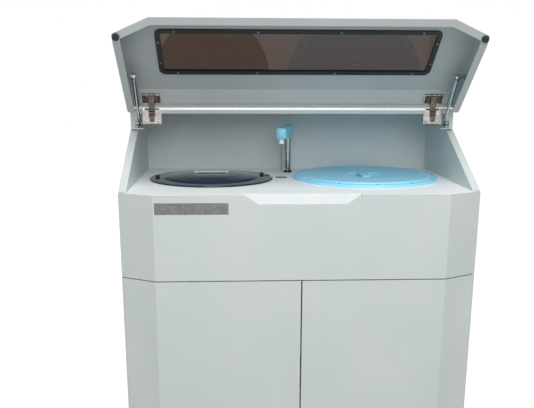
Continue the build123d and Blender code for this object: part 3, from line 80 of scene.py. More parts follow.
# ---- open lid ----------------------------------------------------------------------------------
LID_ANGLE = radians(68.0)      # how far the lid stands above its closed place
LID_PIVOT = Vector((0.0, 0.038, 1.070))
HINGE_X = 0.434                # middle of a hinge from the centre line
HINGE_CUP_Y = -0.0045          # middle and rim of a hinge cup, on the closed lid
HINGE_CUP_RIM = 1.0776

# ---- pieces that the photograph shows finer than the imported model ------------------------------
BLUE_SCREWS = 12               # screws in the blue cover's rim, the first at its front
SCREW_INSET = 11               # from the blue cover's edge to a screw's middle, in millimetres
RECESS_LEVEL = 0.8716          # the worktop's recess lies below this height
NAME_PLATE_X = (-0.398, -0.1995)
NAME_PLATE_Z = (0.8201, 0.8523)
# screw caps lie above a level left and right of a middle; then that middle, and the caps' rear
TANK_CAPS = (0.404, 0.364, -0.245, -0.02)
BOTTLE_CAPS = (0.842, 0.842, 0.0, 1.0)

# ---- light -------------------------------------------------------------------------------------
WHITE = (1.0, 1.0, 1.0, 1.0)
SOFT_LIGHT = 0.39              # strength of the world where it lights the object
FLOOR_GLOW = 1.9               # strength of the floor's own light, where it is seen directly
FLOOR_GLOW_SHARE = 0.5
KEY_LAMP = {"place": (0.05, -1.9, 3.95), "aim": (0.0, 0.0, 0.8), "size": 2.2, "power": 98.0}
FRONT_LAMP = {"place": (0.1, -3.3, 2.3), "aim": (0.0, 0.0, 0.95), "size": 1.5, "power": 35.0}


# ================================================================================================
# Shapes: every new piece is a grid of points worked out as whole arrays
# ================================================================================================
def grid_mesh(name, points, wrap_u=False, wrap_v=False, sharp=40.0):
    """Quads over a grid of points (u, v, xyz). A wrapped direction joins its last row to its first;
    points that fall together, as at a pole, are merged, and the faces are turned outwards."""
    count_u, count_v = points.shape[:2]
    index = np.arange(count_u * count_v).reshape(count_u, count_v)
    u = np.arange(count_u if wrap_u else count_u - 1)
    v = np.arange(count_v if wrap_v else count_v - 1)
    next_u, next_v = (u + 1) % count_u, (v + 1) % count_v
    corners = (index[np.ix_(u, v)], index[np.ix_(next_u, v)], index[np.ix_(next_u, next_v)],
               index[np.ix_(u, next_v)])
    quads = np.stack(corners, axis=-1).reshape(-1, 4)
    mesh = bpy.data.meshes.new(name)
    mesh.from_pydata(points.reshape(-1, 3).tolist(), [], quads.tolist())
    return finished_mesh(mesh, sharp)


def finished_mesh(mesh, sharp):
    """Merges doubled points, turns the faces outwards and shades smoothly up to the sharp angle."""
    work = bmesh.new()
    work.from_mesh(mesh)
    bmesh.ops.remove_doubles(work, verts=work.verts, dist=2e-6)
    bmesh.ops.dissolve_degenerate(work, edges=work.edges, dist=1e-6)
    bmesh.ops.recalc_face_normals(work, faces=work.faces)
    work.to_mesh(mesh)
    work.free()
    mesh.polygons.foreach_set("use_smooth", np.ones(len(mesh.polygons), bool))
    mesh.set_sharp_from_angle(angle=radians(sharp))
    mesh.update()
    return mesh


def joined(name, meshes):
    """One mesh of several closed ones."""
    work = bmesh.new()
    for mesh in meshes:
        work.from_mesh(mesh)
    whole = bpy.data.meshes.new(name)
    work.to_mesh(whole)
    work.free()
    return whole


def moved(mesh, matrix):
    """The mesh carried by a matrix, in place."""
    mesh.transform(matrix)
    return mesh


def opened():
    """Carries a piece from its place on the closed lid to the open one: a turn about the pivot."""
    return (Matrix.Translation(LID_PIVOT) @ Matrix.Rotation(-LID_ANGLE, 4, "X")
            @ Matrix.Translation(-LID_PIVOT))


def rounded_outline(corners, radius, steps=5):
    """A closed outline whose corners are eased by parabolic arcs: each corner P is replaced by
    points (1-t)^2 A + 2t(1-t) P + t^2 B, where A and B lie on its two sides, at most radius
    from P."""
    corner = np.asarray(corners, float)
    to_last = np.roll(corner, 1, axis=0) - corner
    to_next = np.roll(corner, -1, axis=0) - corner
    length_last = np.linalg.norm(to_last, axis=1, keepdims=True)
    length_next = np.linalg.norm(to_next, axis=1, keepdims=True)
    reach = np.minimum(radius, 0.45 * np.minimum(length_last, length_next))
    start = corner + to_last / length_last * reach
    end = corner + to_next / length_next * reach
    t = np.linspace(0.0, 1.0, steps)[None, :, None]
    arcs = (1 - t) ** 2 * start[:, None] + 2 * t * (1 - t) * corner[:, None] + t ** 2 * end[:, None]
    return arcs.reshape(-1, corner.shape[1])


def turned(name, outline, centre, segments=96, edge=None, easing=1.2 * MM):
    """A closed outline (radius, height) turned about the upright through centre:
    x = cx + r cos a, y = cy + r sin a, z = cz + h. With edge, r is held under edge(a)."""
    profile = rounded_outline(outline, easing)
    angle = np.linspace(0.0, 2 * pi, segments, endpoint=False)[:, None]
    radius = np.repeat(profile[None, :, 0], segments, axis=0)
    if edge is not None:
        radius = np.minimum(radius, edge(angle))
    points = np.stack([centre[0] + radius * np.cos(angle), centre[1] + radius * np.sin(angle),
                       centre[2] + np.broadcast_to(profile[None, :, 1], radius.shape)], axis=-1)
    return grid_mesh(name, points, wrap_u=True, wrap_v=True)


def eased(value, power):
    """A cosine or sine bent towards the corners of a box: sign(c) |c|^power."""
    return np.sign(value) * np.abs(value) ** power


def rounded_block(name, centre, size, power, count=(48, 24)):
    """A box with eased edges, a superellipsoid: with c(a) = sign(cos a) |cos a|^(2/n) and s(a)
    alike, x = X c(v) c(u), y = Y c(v) s(u), z = Z s(v)."""
    u = np.linspace(0.0, 2 * pi, count[0], endpoint=False)[:, None]
    v = np.linspace(-pi / 2, pi / 2, count[1])[None, :]
    ease = 2.0 / power
    level = eased(np.cos(v), ease)
    shape = (level * eased(np.cos(u), ease), level * eased(np.sin(u), ease),
             eased(np.sin(v), ease) * np.ones_like(u))
    points = np.stack([centre[k] + size[k] / 2 * shape[k] for k in range(3)], axis=-1)
    points[:, 0] = points[:, 0].mean(axis=0)
    points[:, -1] = points[:, -1].mean(axis=0)
    return grid_mesh(name, points, wrap_u=True, sharp=60.0)


def ball(name, centre, radius):
    """A sphere: x = r cos v cos u, y = r cos v sin u, z = r sin v."""
    return rounded_block(name, centre, (2 * radius,) * 3, power=2.0, count=(32, 17))


def pan_screw(name, radius, height):
    """A pan head with a cross recess, standing on z = 0: the height over the head is a quarter
    ellipse of the radius, less a cross whose depth falls off smoothly from its two arms."""
    rings, segments = 14, 48
    arm_width, arm_reach, arm_fade = 0.13, 0.62, 0.12      # shares of the head's radius
    cross_depth, rim_height = 0.55, 0.28                   # shares of its height
    fall = 0.72                                            # share of the ellipse that is used
    r = np.linspace(0.0, 1.0, rings)[None, :]
    a = np.linspace(0.0, 2 * pi, segments, endpoint=False)[:, None]
    x, y = r * np.cos(a), r * np.sin(a)
    dome = np.sqrt(np.maximum(1 - r ** 2 * fall, 0.0)) * np.ones_like(a)
    arm = np.minimum(np.abs(x), np.abs(y))
    reach = np.maximum(np.abs(x), np.abs(y))
    cross = np.clip(1 - arm / arm_width, 0, 1) * np.clip((arm_reach - reach) / arm_fade, 0, 1)
    z = height * (dome - cross_depth * cross)
    z[:, -1] = rim_height * height
    top = np.stack([x * radius, y * radius, z], axis=-1)
    wall = top[:, -1:].copy()
    wall[..., 2] = 0.0
    under = np.zeros_like(wall)
    return grid_mesh(name, np.concatenate([top, wall, under], axis=1), wrap_u=True)


def plate_mesh(name, low, high, corner_radius=1.2 * MM, rim=0.3 * MM):
    """A plain plate between two corners, as a wrapped outline carried over its thickness: its back,
    its edge, the eased rim of its face, and the face."""
    outline = rounded_outline([(low[0], low[2]), (high[0], low[2]), (high[0], high[2]),
                               (low[0], high[2])], corner_radius)
    middle = outline.mean(axis=0)
    offset = outline - middle
    edges = [middle + offset * (1 - inset / np.abs(offset).max(axis=0)) for inset in (0.0, rim)]
    closed = np.repeat(middle[None], len(outline), axis=0)
    rings = ((high[1], closed), (high[1], edges[0]), (low[1] + rim, edges[0]), (low[1], edges[1]),
             (low[1], closed))
    points = [np.stack([ring[:, 0], np.full(len(ring), y), ring[:, 1]], axis=-1)
              for y, ring in rings]
    return grid_mesh(name, np.array(points), wrap_v=True)


def piece(name, mesh, material, body, replaces=()):
    """Shows a mesh as a piece of the object that rides on a body."""
    obj = bpy.data.objects.new(name, mesh)
    bpy.context.scene.collection.objects.link(obj)
    mesh.materials.clear()
    mesh.materials.append(material)
    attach(obj, body)
    if replaces:
        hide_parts(*replaces)


# ================================================================================================
# Finishes
# ================================================================================================
def linear(code):
    """An sRGB hex colour as linear red, green, blue and a full alpha."""
    value = np.array([int(code[k:k + 2], 16) for k in (0, 2, 4)]) / 255.0
    value = np.where(value <= 0.04045, value / 12.92, ((value + 0.055) / 1.055) ** 2.4)
    return (*value.tolist(), 1.0)


def add_node(tree, kind, settings=None, links=None):
    """One node. A setting is a property where the node has one of that name, and otherwise an
    input; links join sockets to its inputs, by name or number."""
    node = tree.nodes.new(kind)
    for key, value in (settings or {}).items():
        if isinstance(key, str) and hasattr(node, key):
            setattr(node, key, value)
        else:
            node.inputs[key].default_value = value
    for key, socket in (links or {}).items():
        tree.links.new(socket, node.inputs[key])
    return node


def worked_out(tree, operation, first, second):
    """One step of arithmetic on a socket and a second value, which is a number or a socket."""
    given = isinstance(second, (int, float))
    settings = {"operation": operation, **({1: second} if given else {})}
    links = {0: first, **({} if given else {1: second})}
    return add_node(tree, "ShaderNodeMath", settings, links).outputs[0]


def start_material(name):
    """An empty material with its output and the piece's own coordinates."""
    material = bpy.data.materials.new(name)
    material.use_nodes = True
    tree = material.node_tree
    tree.nodes.clear()
    output = add_node(tree, "ShaderNodeOutputMaterial")
    coords = add_node(tree, "ShaderNodeTexCoord").outputs["Object"]
    return material, tree, output, coords


def surfaced(material, tree, output, settings, links):
    """The material with one principled surface on its output."""
    shader = add_node(tree, "ShaderNodeBsdfPrincipled", settings, links)
    tree.links.new(shader.outputs[0], output.inputs["Surface"])
    return material


def mottled(tree, coords, colour, other, size, detail=3.0):
    """A colour that drifts between two values in patches of the given size in metres."""
    noise = add_node(tree, "ShaderNodeTexNoise", {"Scale": 1.0 / size, "Detail": detail},
                     {"Vector": coords})
    ramp = add_node(tree, "ShaderNodeMapRange", {"From Min": 0.35, "From Max": 0.65},
                    {"Value": noise.outputs["Fac"]})
    mix = add_node(tree, "ShaderNodeMix",
                   {"data_type": "RGBA", 6: linear(colour), 7: linear(other)},
                   {0: ramp.outputs["Result"]})
    return mix.outputs[2]


def drifting(tree, coords, low, high, size):
    """A number that drifts between low and high in patches of the given size."""
    noise = add_node(tree, "ShaderNodeTexNoise", {"Scale": 1.0 / size, "Detail": 2.0},
                     {"Vector": coords})
    ramp = add_node(tree, "ShaderNodeMapRange",
                    {"From Min": 0.3, "From Max": 0.7, "To Min": low, "To Max": high},
                    {"Value": noise.outputs["Fac"]})
    return ramp.outputs["Result"]


def grained(tree, coords, size, depth, strength, stretch=(1.0, 1.0, 1.0)):
    """A normal roughened by grain of a size and depth in metres, stretched along an axis if
    asked."""
    mapping = add_node(tree, "ShaderNodeMapping", {"Scale": stretch}, {"Vector": coords})
    noise = add_node(tree, "ShaderNodeTexNoise", {"Scale": 1.0 / size, "Detail": 3.0},
                     {"Vector": mapping.outputs[0]})
    bump = add_node(tree, "ShaderNodeBump", {"Strength": strength, "Distance": depth},
                    {"Height": noise.outputs["Fac"]})
    return bump.outputs["Normal"]


def powder_coat(name, colour, other, roughness=0.42, recess=None):
    """Baked powder coat on folded sheet: an even satin with fine orange peel.
    The peel is about 0.5 mm across on the real sheet, and is drawn at 1.5 mm so that it shows.
    Recess gives a level, below which the coat is painted greyer as shade on the sloped finger
    recess, toning down the light it catches, and its two colours there."""
    material, tree, output, coords = start_material(name)
    peel = grained(tree, coords, 1.5 * MM, 0.03 * MM, 0.5)
    coat = mottled(tree, coords, colour, other, 0.22)
    # below the recess level the coat's colour is painted shade: a darker grey on the sloped finger
    # recess
    if recess:
        level, recess_shade_colour, recess_shade_other = recess
        split = add_node(tree, "ShaderNodeSeparateXYZ", {}, {0: coords})
        below = worked_out(tree, "LESS_THAN", split.outputs["Z"], level)
        painted_recess_shade = mottled(tree, coords, recess_shade_colour, recess_shade_other, 0.03)
        coat = add_node(tree, "ShaderNodeMix", {"data_type": "RGBA"},
                        {0: below, 6: coat, 7: painted_recess_shade}).outputs[2]
    return surfaced(material, tree, output, {"IOR": 1.5}, {
        "Base Color": coat, "Normal": peel,
        "Roughness": drifting(tree, coords, roughness - 0.04, roughness + 0.05, 0.05)})


def moulded_plastic(name, colour, other, roughness, patch=0.05):
    """Injection-moulded plastic, ABS or PP: soft gloss over a very fine mould texture."""
    material, tree, output, coords = start_material(name)
    return surfaced(material, tree, output, {"IOR": 1.5}, {
        "Base Color": mottled(tree, coords, colour, other, patch),
        "Roughness": drifting(tree, coords, roughness - 0.05, roughness + 0.06, 0.02),
        "Normal": grained(tree, coords, 1.2 * MM, 0.004 * MM, 0.1)})


def bright_metal(name, colour, other, roughness, stretch=(1.0, 1.0, 1.0), grain=0.5 * MM,
                 depth=0.01 * MM):
    """Plated, turned or brushed metal: coloured reflection, with fine lines along the tool's
    path."""
    material, tree, output, coords = start_material(name)
    return surfaced(material, tree, output, {"Metallic": 1.0}, {
        "Base Color": mottled(tree, coords, colour, other, 0.012),
        "Roughness": drifting(tree, coords, roughness * 0.75, roughness * 1.3, 0.006),
        "Normal": grained(tree, coords, grain, depth, 0.5, stretch)})


def clear_sheet(name, tint, roughness, ior, body_share=0.0, mirror=0.5):
    """Cast acrylic or float glass, tinted through: light passes and takes the tint, and the surface
    mirrors a little more at a low angle. Body share is the part that scatters instead, and mirror
    the strength of the reflection, half for a new sheet."""
    material, tree, output, coords = start_material(name)
    return surfaced(
        material, tree, output,
        {"Base Color": linear(tint), "IOR": ior, "Transmission Weight": 1.0 - body_share,
         "Specular IOR Level": mirror},
        {"Roughness": drifting(tree, coords, roughness * 0.6, roughness * 1.4, 0.08)})


def rubber(name, colour="17181a", other="202124"):
    """Extruded EPDM rubber: near black, dull, with a soft sheen along its length."""
    material, tree, output, coords = start_material(name)
    return surfaced(material, tree, output, {"IOR": 1.52}, {
        "Base Color": mottled(tree, coords, colour, other, 0.01),
        "Roughness": drifting(tree, coords, 0.5, 0.68, 0.01),
        "Normal": grained(tree, coords, 0.6 * MM, 0.03 * MM, 0.5)})


def capped_tank(name, cap, left_level, right_level, middle, cap_rear):
    """Blow-moulded plastic, milky, with coloured screw caps. A cap is what lies above a level and
    in front of cap_rear. The level is left_level for a tank left of the middle, and right_level
    for one right of it."""
    material, tree, output, coords = start_material(name)
    split = add_node(tree, "ShaderNodeSeparateXYZ", {}, {0: coords})
    to_right = worked_out(tree, "GREATER_THAN", split.outputs["X"], middle)
    level = add_node(tree, "ShaderNodeMapRange", {"To Min": left_level, "To Max": right_level},
                     {"Value": to_right})
    above = worked_out(tree, "GREATER_THAN", split.outputs["Z"], level.outputs[0])
    before = worked_out(tree, "LESS_THAN", split.outputs["Y"], cap_rear)
    capped = worked_out(tree, "MULTIPLY", above, before)
    mix = add_node(tree, "ShaderNodeMix", {"data_type": "RGBA", 7: linear(cap)},
                   {0: capped, 6: mottled(tree, coords, "dfe0d8", "d4d6cc", 0.06)})
    return surfaced(material, tree, output, {"IOR": 1.5, "Subsurface Weight": 0.1}, {
        "Base Color": mix.outputs[2], "Roughness": drifting(tree, coords, 0.35, 0.5, 0.03),
        "Normal": grained(tree, coords, 2.0 * MM, 0.05 * MM, 0.4)})


def circuit_board():
    """Green solder mask over copper tracks, with dark and metal parts standing off it."""
    mask_level = 15.5 * MM             # the board's own face; its parts stand further along X
    material, tree, output, coords = start_material("solder_mask_board")
    split = add_node(tree, "ShaderNodeSeparateXYZ", {}, {0: coords})
    raised = worked_out(tree, "GREATER_THAN", split.outputs["X"], mask_level)
    flat = add_node(tree, "ShaderNodeCombineXYZ", {},
                    {0: split.outputs["Y"], 1: split.outputs["Z"]})
    tracks = add_node(tree, "ShaderNodeTexBrick",
                      {"Scale": 1.0, "Brick Width": 0.018, "Row Height": 0.004,
                       "Mortar Size": 0.0006, "Color1": linear("1f5c38"),
                       "Color2": linear("256842"), "Mortar": linear("7aa06a")},
                      {"Vector": flat.outputs[0]})
    mix = add_node(tree, "ShaderNodeMix", {"data_type": "RGBA"},
                   {0: raised, 6: tracks.outputs["Color"],
                    7: mottled(tree, coords, "1c1d20", "8f9296", 0.05, 0.0)})
    return surfaced(material, tree, output, {"Roughness": 0.4}, {"Base Color": mix.outputs[2]})


# scales that draw a metal's fine lines out along one axis
ALONG_X, ALONG_Y, ALONG_Z = (0.03, 1.0, 1.0), (1.0, 0.1, 1.0), (1.0, 1.0, 0.05)

FINISHES = {
    # the record's slots
    "panel_paint": powder_coat("powder_coat_pale_grey", "ccd2d0", "c8cfcd"),
    # the worktop's recess colours are painted shade, greyer on the sloped finger recess
    "worktop_paint": powder_coat("powder_coat_white_grey", "eef1f2", "e9edee", 0.38,
                                 (RECESS_LEVEL, "c3c8c8", "bec4c4")),
    "liner_paint": powder_coat("powder_coat_mid_grey", "d2d8d8", "ccd3d3", 0.5),
    "lid_paint": powder_coat("powder_coat_lid_grey", "bcc1c1", "b6bcbc", 0.45),
    "zinc_steel": bright_metal("zinc_plated_steel", "b9bcc0", "a4a8ad", 0.34, depth=0.02 * MM),
    "nickel": bright_metal("nickel_plate", "c6c2bc", "aaa49c", 0.24),
    "bright_steel": bright_metal("ground_stainless", "c3c6c9", "a9adb1", 0.18, ALONG_Z),
    "aluminium": bright_metal("machined_aluminium", "cfd1d3", "b9bcbf", 0.3, ALONG_Y,
                              depth=0.02 * MM),
    "motor_black": powder_coat("black_enamel", "1f2022", "27282a", 0.4),
    "black_rubber": rubber("epdm_rubber"),
    "black_plastic": moulded_plastic("black_nylon", "141518", "1d1e21", 0.42),
    "pale_plastic": moulded_plastic("pale_abs", "b9c8cd", "b0c0c6", 0.35),
    "blue_plastic": moulded_plastic("light_blue_abs", "95d6ef", "8ed1ec", 0.45, patch=0.12),
    "arm_plastic": moulded_plastic("arm_blue_abs", "98dcf2", "8fd5ec", 0.4),
    "clear_plastic": clear_sheet("clear_acrylic", "e4ecee", 0.03, 1.49),
    "tank_plastic": capped_tank("milky_polyethylene", "2f66a8", *TANK_CAPS),
    "board": circuit_board(),
    "smoked_glass": clear_sheet("bronze_float_glass", "4e3f38", 0.02, 1.52),
    "smoked_plastic": clear_sheet("smoked_blue_acrylic", "14304a", 0.05, 1.49, 0.6, 0.4),
    # finishes of single pieces
    "plate": bright_metal("brushed_name_plate", "7f817e", "717370", 0.38, ALONG_X, 0.6 * MM,
                          0.02 * MM),
    "bottle_plastic": capped_tank("milky_polypropylene", "2f66a8", *BOTTLE_CAPS),
    # painted highlight: a near-white mirror strip for the glint on the ledge's rounded sheet edge
    "ledge_glint": bright_metal("ledge_glint_mirror", "fafbfb", "f4f5f6", 0.1, ALONG_X,
                           depth=0.002 * MM),
    "dark_screw": bright_metal("dull_zinc", "8f9295", "7c7f82", 0.42),
    "column_steel": bright_metal("ground_column", "a3a7ab", "8f9397", 0.14, ALONG_Z),
    "hinge_arm": bright_metal("dull_nickel", "736a61", "5d554e", 0.3),
    # painted shade: the dark inside of a deep hinge cup, carried by a thin sheet
    "cup_shade_paint": bright_metal("painted_cup_shade", "5a4a43", "4c3f39", 0.4),
    "blue_screw": moulded_plastic("deep_blue_abs", "3a7fa8", "3678a0", 0.35),
    "white_plastic": moulded_plastic("white_acetal", "eef3f5", "e6ecef", 0.35),
    "needle_steel": bright_metal("drawn_needle", "6f7377", "62666a", 0.35),
}

# nodes that look different from the rest of their slot
OWN_FINISH = {"reagent_bottles": "bottle_plastic", "window_screws": "dark_screw",
              "probe_column": "column_steel", "hinge_cups": "hinge_arm",
              "probe_nozzle": "white_plastic", "probe_needle": "needle_steel",
              "wash_station": "motor_black"}


def smooth_group():
    """A node group that merges a CAD mesh's loose triangles and shades its curved walls smoothly,
    leaving edges over 24 degrees sharp. The mesh itself stays as it is."""
    group = bpy.data.node_groups.new("smooth_cad", "GeometryNodeTree")
    for direction in ("INPUT", "OUTPUT"):
        group.interface.new_socket("Geometry", in_out=direction, socket_type="NodeSocketGeometry")
    start = add_node(group, "NodeGroupInput")
    merge = add_node(group, "GeometryNodeMergeByDistance", {"Distance": 1e-5},
                     {"Geometry": start.outputs[0]})
    faces = add_node(group, "GeometryNodeSetShadeSmooth", {"domain": "FACE"},
                     {"Geometry": merge.outputs[0]})
    angle = add_node(group, "GeometryNodeInputMeshEdgeAngle")
    wide = add_node(group, "FunctionNodeCompare", {"operation": "GREATER_THAN", 1: radians(24)},
                    {0: angle.outputs[0]})
    edges = add_node(group, "GeometryNodeSetShadeSmooth",
                     {"domain": "EDGE", "Shade Smooth": False},
                     {"Geometry": faces.outputs[0], "Selection": wide.outputs[0]})
    add_node(group, "NodeGroupOutput", {}, {0: edges.outputs[0]})
    return group


def dress_cad_nodes():
    """Gives every CAD node its finish from the record's slots, and smooth curved walls."""
    group = smooth_group()
    for entry in frame["record"]["subparts"]:
        node = NODES[entry["node"]]
        finish = OWN_FINISH.get(entry["node"], entry["material_slot"])
        node.data.materials.clear()
        node.data.materials.append(FINISHES[finish])
        smoothing = node.modifiers.new("smooth_walls", "NODES")
        smoothing.node_group = group


# ================================================================================================
# Pieces
# ================================================================================================
def centre_of(node):
    """Middle of a node in plan, at its lowest level."""
    low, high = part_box(node)
    return Vector(((low.x + high.x) / 2, (low.y + high.y) / 2, low.z))


def make_lid_casing():
    """Folded lid whose two corner walls lean as its front wall does. On the closed lid, the corners
    where such a wall meets the sloping panel slide along the fold they lie on: the front ones along
    the front fold towards the middle, the side ones up the side fold. Every wall stays flat."""
    slide_in, slide_back, slide_up = 53.4, 33.3, 16.65     # millimetres along the folds
    # corners lie further out, further forward and higher than these; a front one ends at front_end
    front_x, front_end, front_y, front_z = 0.425, 0.47, -0.27, 0.93
    side_x, side_y, side_z = 0.49, -0.25, 0.94
    mesh = NODES["lid_shell"].data.copy()
    mesh.name = "lid_casing"
    moved(mesh, opened().inverted())
    finished_mesh(mesh, sharp=10.0)
    place = np.empty(len(mesh.vertices) * 3, np.float32)
    mesh.vertices.foreach_get("co", place)
    place = place.reshape(-1, 3)
    across, y, z = np.abs(place[:, 0]), place[:, 1], place[:, 2]
    front_fold = (across > front_x) & (across < front_end) & (y < front_y) & (z > front_z)
    side_fold = (across > side_x) & (y < side_y) & (z > side_z)
    place[front_fold, 0] -= np.sign(place[front_fold, 0]) * slide_in * MM
    place[side_fold, 1] += slide_back * MM
    place[side_fold, 2] += slide_up * MM
    mesh.vertices.foreach_set("co", place.ravel())
    mesh.update()
    moved(mesh, opened())
    piece("lid_casing", mesh, FINISHES["lid_paint"], "lid", ["lid_shell"])


def make_smoked_cover():
    """Vacuum-formed smoked dome on a flat brim. The brim's edge is a circle with a notch that runs
    in to a point: R(a) = R - depth max(0, 1 - |a - a0| / w)."""
    low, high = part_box("reaction_cover")
    full = (high.x - low.x) / 2
    notch_angle, notch_half, notch_depth = radians(8.0), radians(6.5), 40 * MM

    def edge(angle):
        """Outer radius at an angle round the cover."""
        away = np.mod(angle - notch_angle + pi, 2 * pi) - pi
        return full - notch_depth * np.maximum(0.0, 1 - np.abs(away) / notch_half)

    upper_side = [(0.0, 18.4), (30, 18.3), (60, 17.6), (80, 16.6), (92, 15.5), (105, 13.9),
                  (120, 11.9), (134, 9.9), (141, 8.3), (147, 5.1), (178, 4.9), (full / MM - 1, 4.6)]
    edge_wall = [(full / MM, 3.0), (full / MM, 0.0)]
    under_side = [(162, 0.0), (159, 2.5), (145, 2.5), (139, 5.8), (133, 7.4), (119, 9.4),
                  (104, 11.4), (91, 13.0), (79, 14.1), (60, 15.1), (30, 15.8)]
    outline = np.array([(0.0, 15.9), *upper_side, *edge_wall, *under_side])
    mesh = turned("smoked_dome", outline * MM, centre_of("reaction_cover"), 360, edge, 1.5 * MM)
    piece("smoked_dome", mesh, FINISHES["smoked_plastic"], "smoked_cover",
          ["reaction_cover"])


def make_cover_handle():
    """Moulded bar handle: a flat rounded bar carried on two short posts that stand on the dome."""
    low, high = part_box("cover_handle")
    middle = (low + high) / 2
    bar = rounded_block("bar", (middle.x, middle.y, low.z + 4.4 * MM),
                        (high.x - low.x, high.y - low.y, 6 * MM), 7.0)
    posts = [rounded_block("post", (middle.x + side * 47 * MM, middle.y, low.z + 0.6 * MM),
                           (9 * MM, 13 * MM, 4.0 * MM), 5.0) for side in (-1, 1)]
    piece("dome_handle", joined("dome_handle", [bar, *posts]), FINISHES["pale_plastic"],
          "smoked_cover", ["cover_handle"])


def make_knob(node, body, name):
    """Thumb knob: a turned cap on its stem. The cap's skirt is fluted, r = R - f |cos 9a|^8."""
    outline = np.array([(0.0, 0.0), (3.0, 0.0), (3.0, 5.05), (5.3, 5.05), (6.3, 6.1),
                        (6.3, 10.6), (5.3, 11.8), (0.0, 11.8)])
    skirt_radius, flute_depth = 6.25, 0.4

    def flutes(angle):
        """Skirt radius with its shallow flutes."""
        return (skirt_radius - flute_depth * np.abs(np.cos(9 * angle)) ** 8) * MM

    mesh = turned(name, outline * MM, centre_of(node), 144, flutes, 0.5 * MM)
    piece(name, mesh, FINISHES["black_plastic"], body, [node])


def make_blue_cover():
    """Thick moulded cover: a turned outline with a low ring round a raised lip and a flat field.
    Twelve screw pockets sink into the ring: within 5 mm of a pocket's centre the height is the
    pocket's floor, and it rises back to the ring over the next 0.8 mm."""
    low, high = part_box("reagent_cover")
    centre = centre_of("reagent_cover")
    full = (high.x - low.x) / 2 / MM
    pocket_radius, pocket_wall, pocket_floor = 5.0, 0.8, 6.2
    well_edge = [(54, 3), (61, 10.0), (65, 10.6)]
    lip = [(full - 34, 10.9), (full - 31, 11.4), (full - 29, 12.9), (full - 25.5, 13.2),
           (full - 22.6, 12.2), (full - 21.6, 10.2)]
    ring = [(full - 21 + 0.95 * k, 9.6 - 0.06 * k) for k in range(20)]
    edge_wall = [(full - 0.8, 7.4), (full, 5.8), (full, 0), (full - 15, 0)]
    under_side = [(full - 16, 3.6), (full - 20, 4.6), (full - 24, 9.2), (full - 30, 9.2),
                  (full - 34, 7.8), (65, 7.6), (57, 0.6)]
    well_floor = [(0, 0.6), (0, 3)]
    outline = np.array([*well_edge, *lip, *ring, *edge_wall, *under_side, *well_floor])
    # in degrees: from one screw to the next, the first screw, and how far the points lie close
    # on each side of a screw
    step, front, dense = 360.0 / BLUE_SCREWS, -90.0, 2.0
    spread = np.concatenate([np.linspace(-dense, dense, 17)[:-1],
                             np.linspace(dense, step - dense, 15)[:-1]])
    angle = np.radians(front + step * np.arange(BLUE_SCREWS)[:, None] + spread).reshape(-1, 1)
    radius = outline[:, 0][None, :]
    height = np.repeat(outline[:, 1][None, :], len(angle), axis=0)
    turn = np.mod(angle + radians(step / 2 - front), radians(step)) - radians(step / 2)
    away = np.hypot(radius * np.cos(turn) - (full - SCREW_INSET), radius * np.sin(turn))
    sunk = np.clip((pocket_radius + pocket_wall - away) / pocket_wall, 0, 1)
    on_top = height > 6
    height = np.where(on_top, height + sunk * (pocket_floor - height), height)
    points = np.stack([centre[0] + MM * radius * np.cos(angle),
                       centre[1] + MM * radius * np.sin(angle), centre[2] + MM * height], axis=-1)
    mesh = grid_mesh("blue_dome", points, wrap_u=True, wrap_v=True, sharp=35)
    piece("blue_dome", mesh, FINISHES["blue_plastic"], "blue_cover",
          ["reagent_cover"])
    screws = []
    for k in range(BLUE_SCREWS):
        seat = (Matrix.Translation(centre)
                @ Matrix.Rotation(radians(front + step * k), 4, "Z")
                @ Matrix.Translation(((full - SCREW_INSET) * MM, 0, 6.1 * MM)))
        screws.append(moved(pan_screw("cover_screw", 4.2 * MM, 3.6 * MM), seat))
    piece("cover_screws", joined("cover_screws", screws), FINISHES["blue_screw"], "blue_cover")


def make_grip():
    """Finger bar across the well, with a superellipse section: its sides draw in at the middle,
    where the fingers close, by the share 0.12 cos^2(pi v / 2)."""
    low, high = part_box("reagent_grip")
    low.z, high.z = low.z - 1.2 * MM, high.z - 4 * MM
    middle, half = (low + high) / 2, (high - low) / 2
    u = np.linspace(0, 2 * pi, 64, endpoint=False)[:, None]
    v = np.linspace(-1, 1, 41)[None, :]
    corner = 0.4                   # power of the section's superellipse
    waist = 1 - 0.12 * np.cos(pi / 2 * v) ** 2
    ends = (1 - np.abs(v) ** 16) ** 0.25
    points = np.stack([middle.x + half.x * waist * ends * eased(np.cos(u), corner),
                       middle.y + half.y * v * np.ones_like(u),
                       middle.z + half.z * ends * eased(np.sin(u), corner)], axis=-1)
    mesh = grid_mesh("finger_bar", points, wrap_u=True, sharp=70)
    piece("finger_bar", mesh, FINISHES["blue_plastic"], "blue_cover",
          ["reagent_grip"])


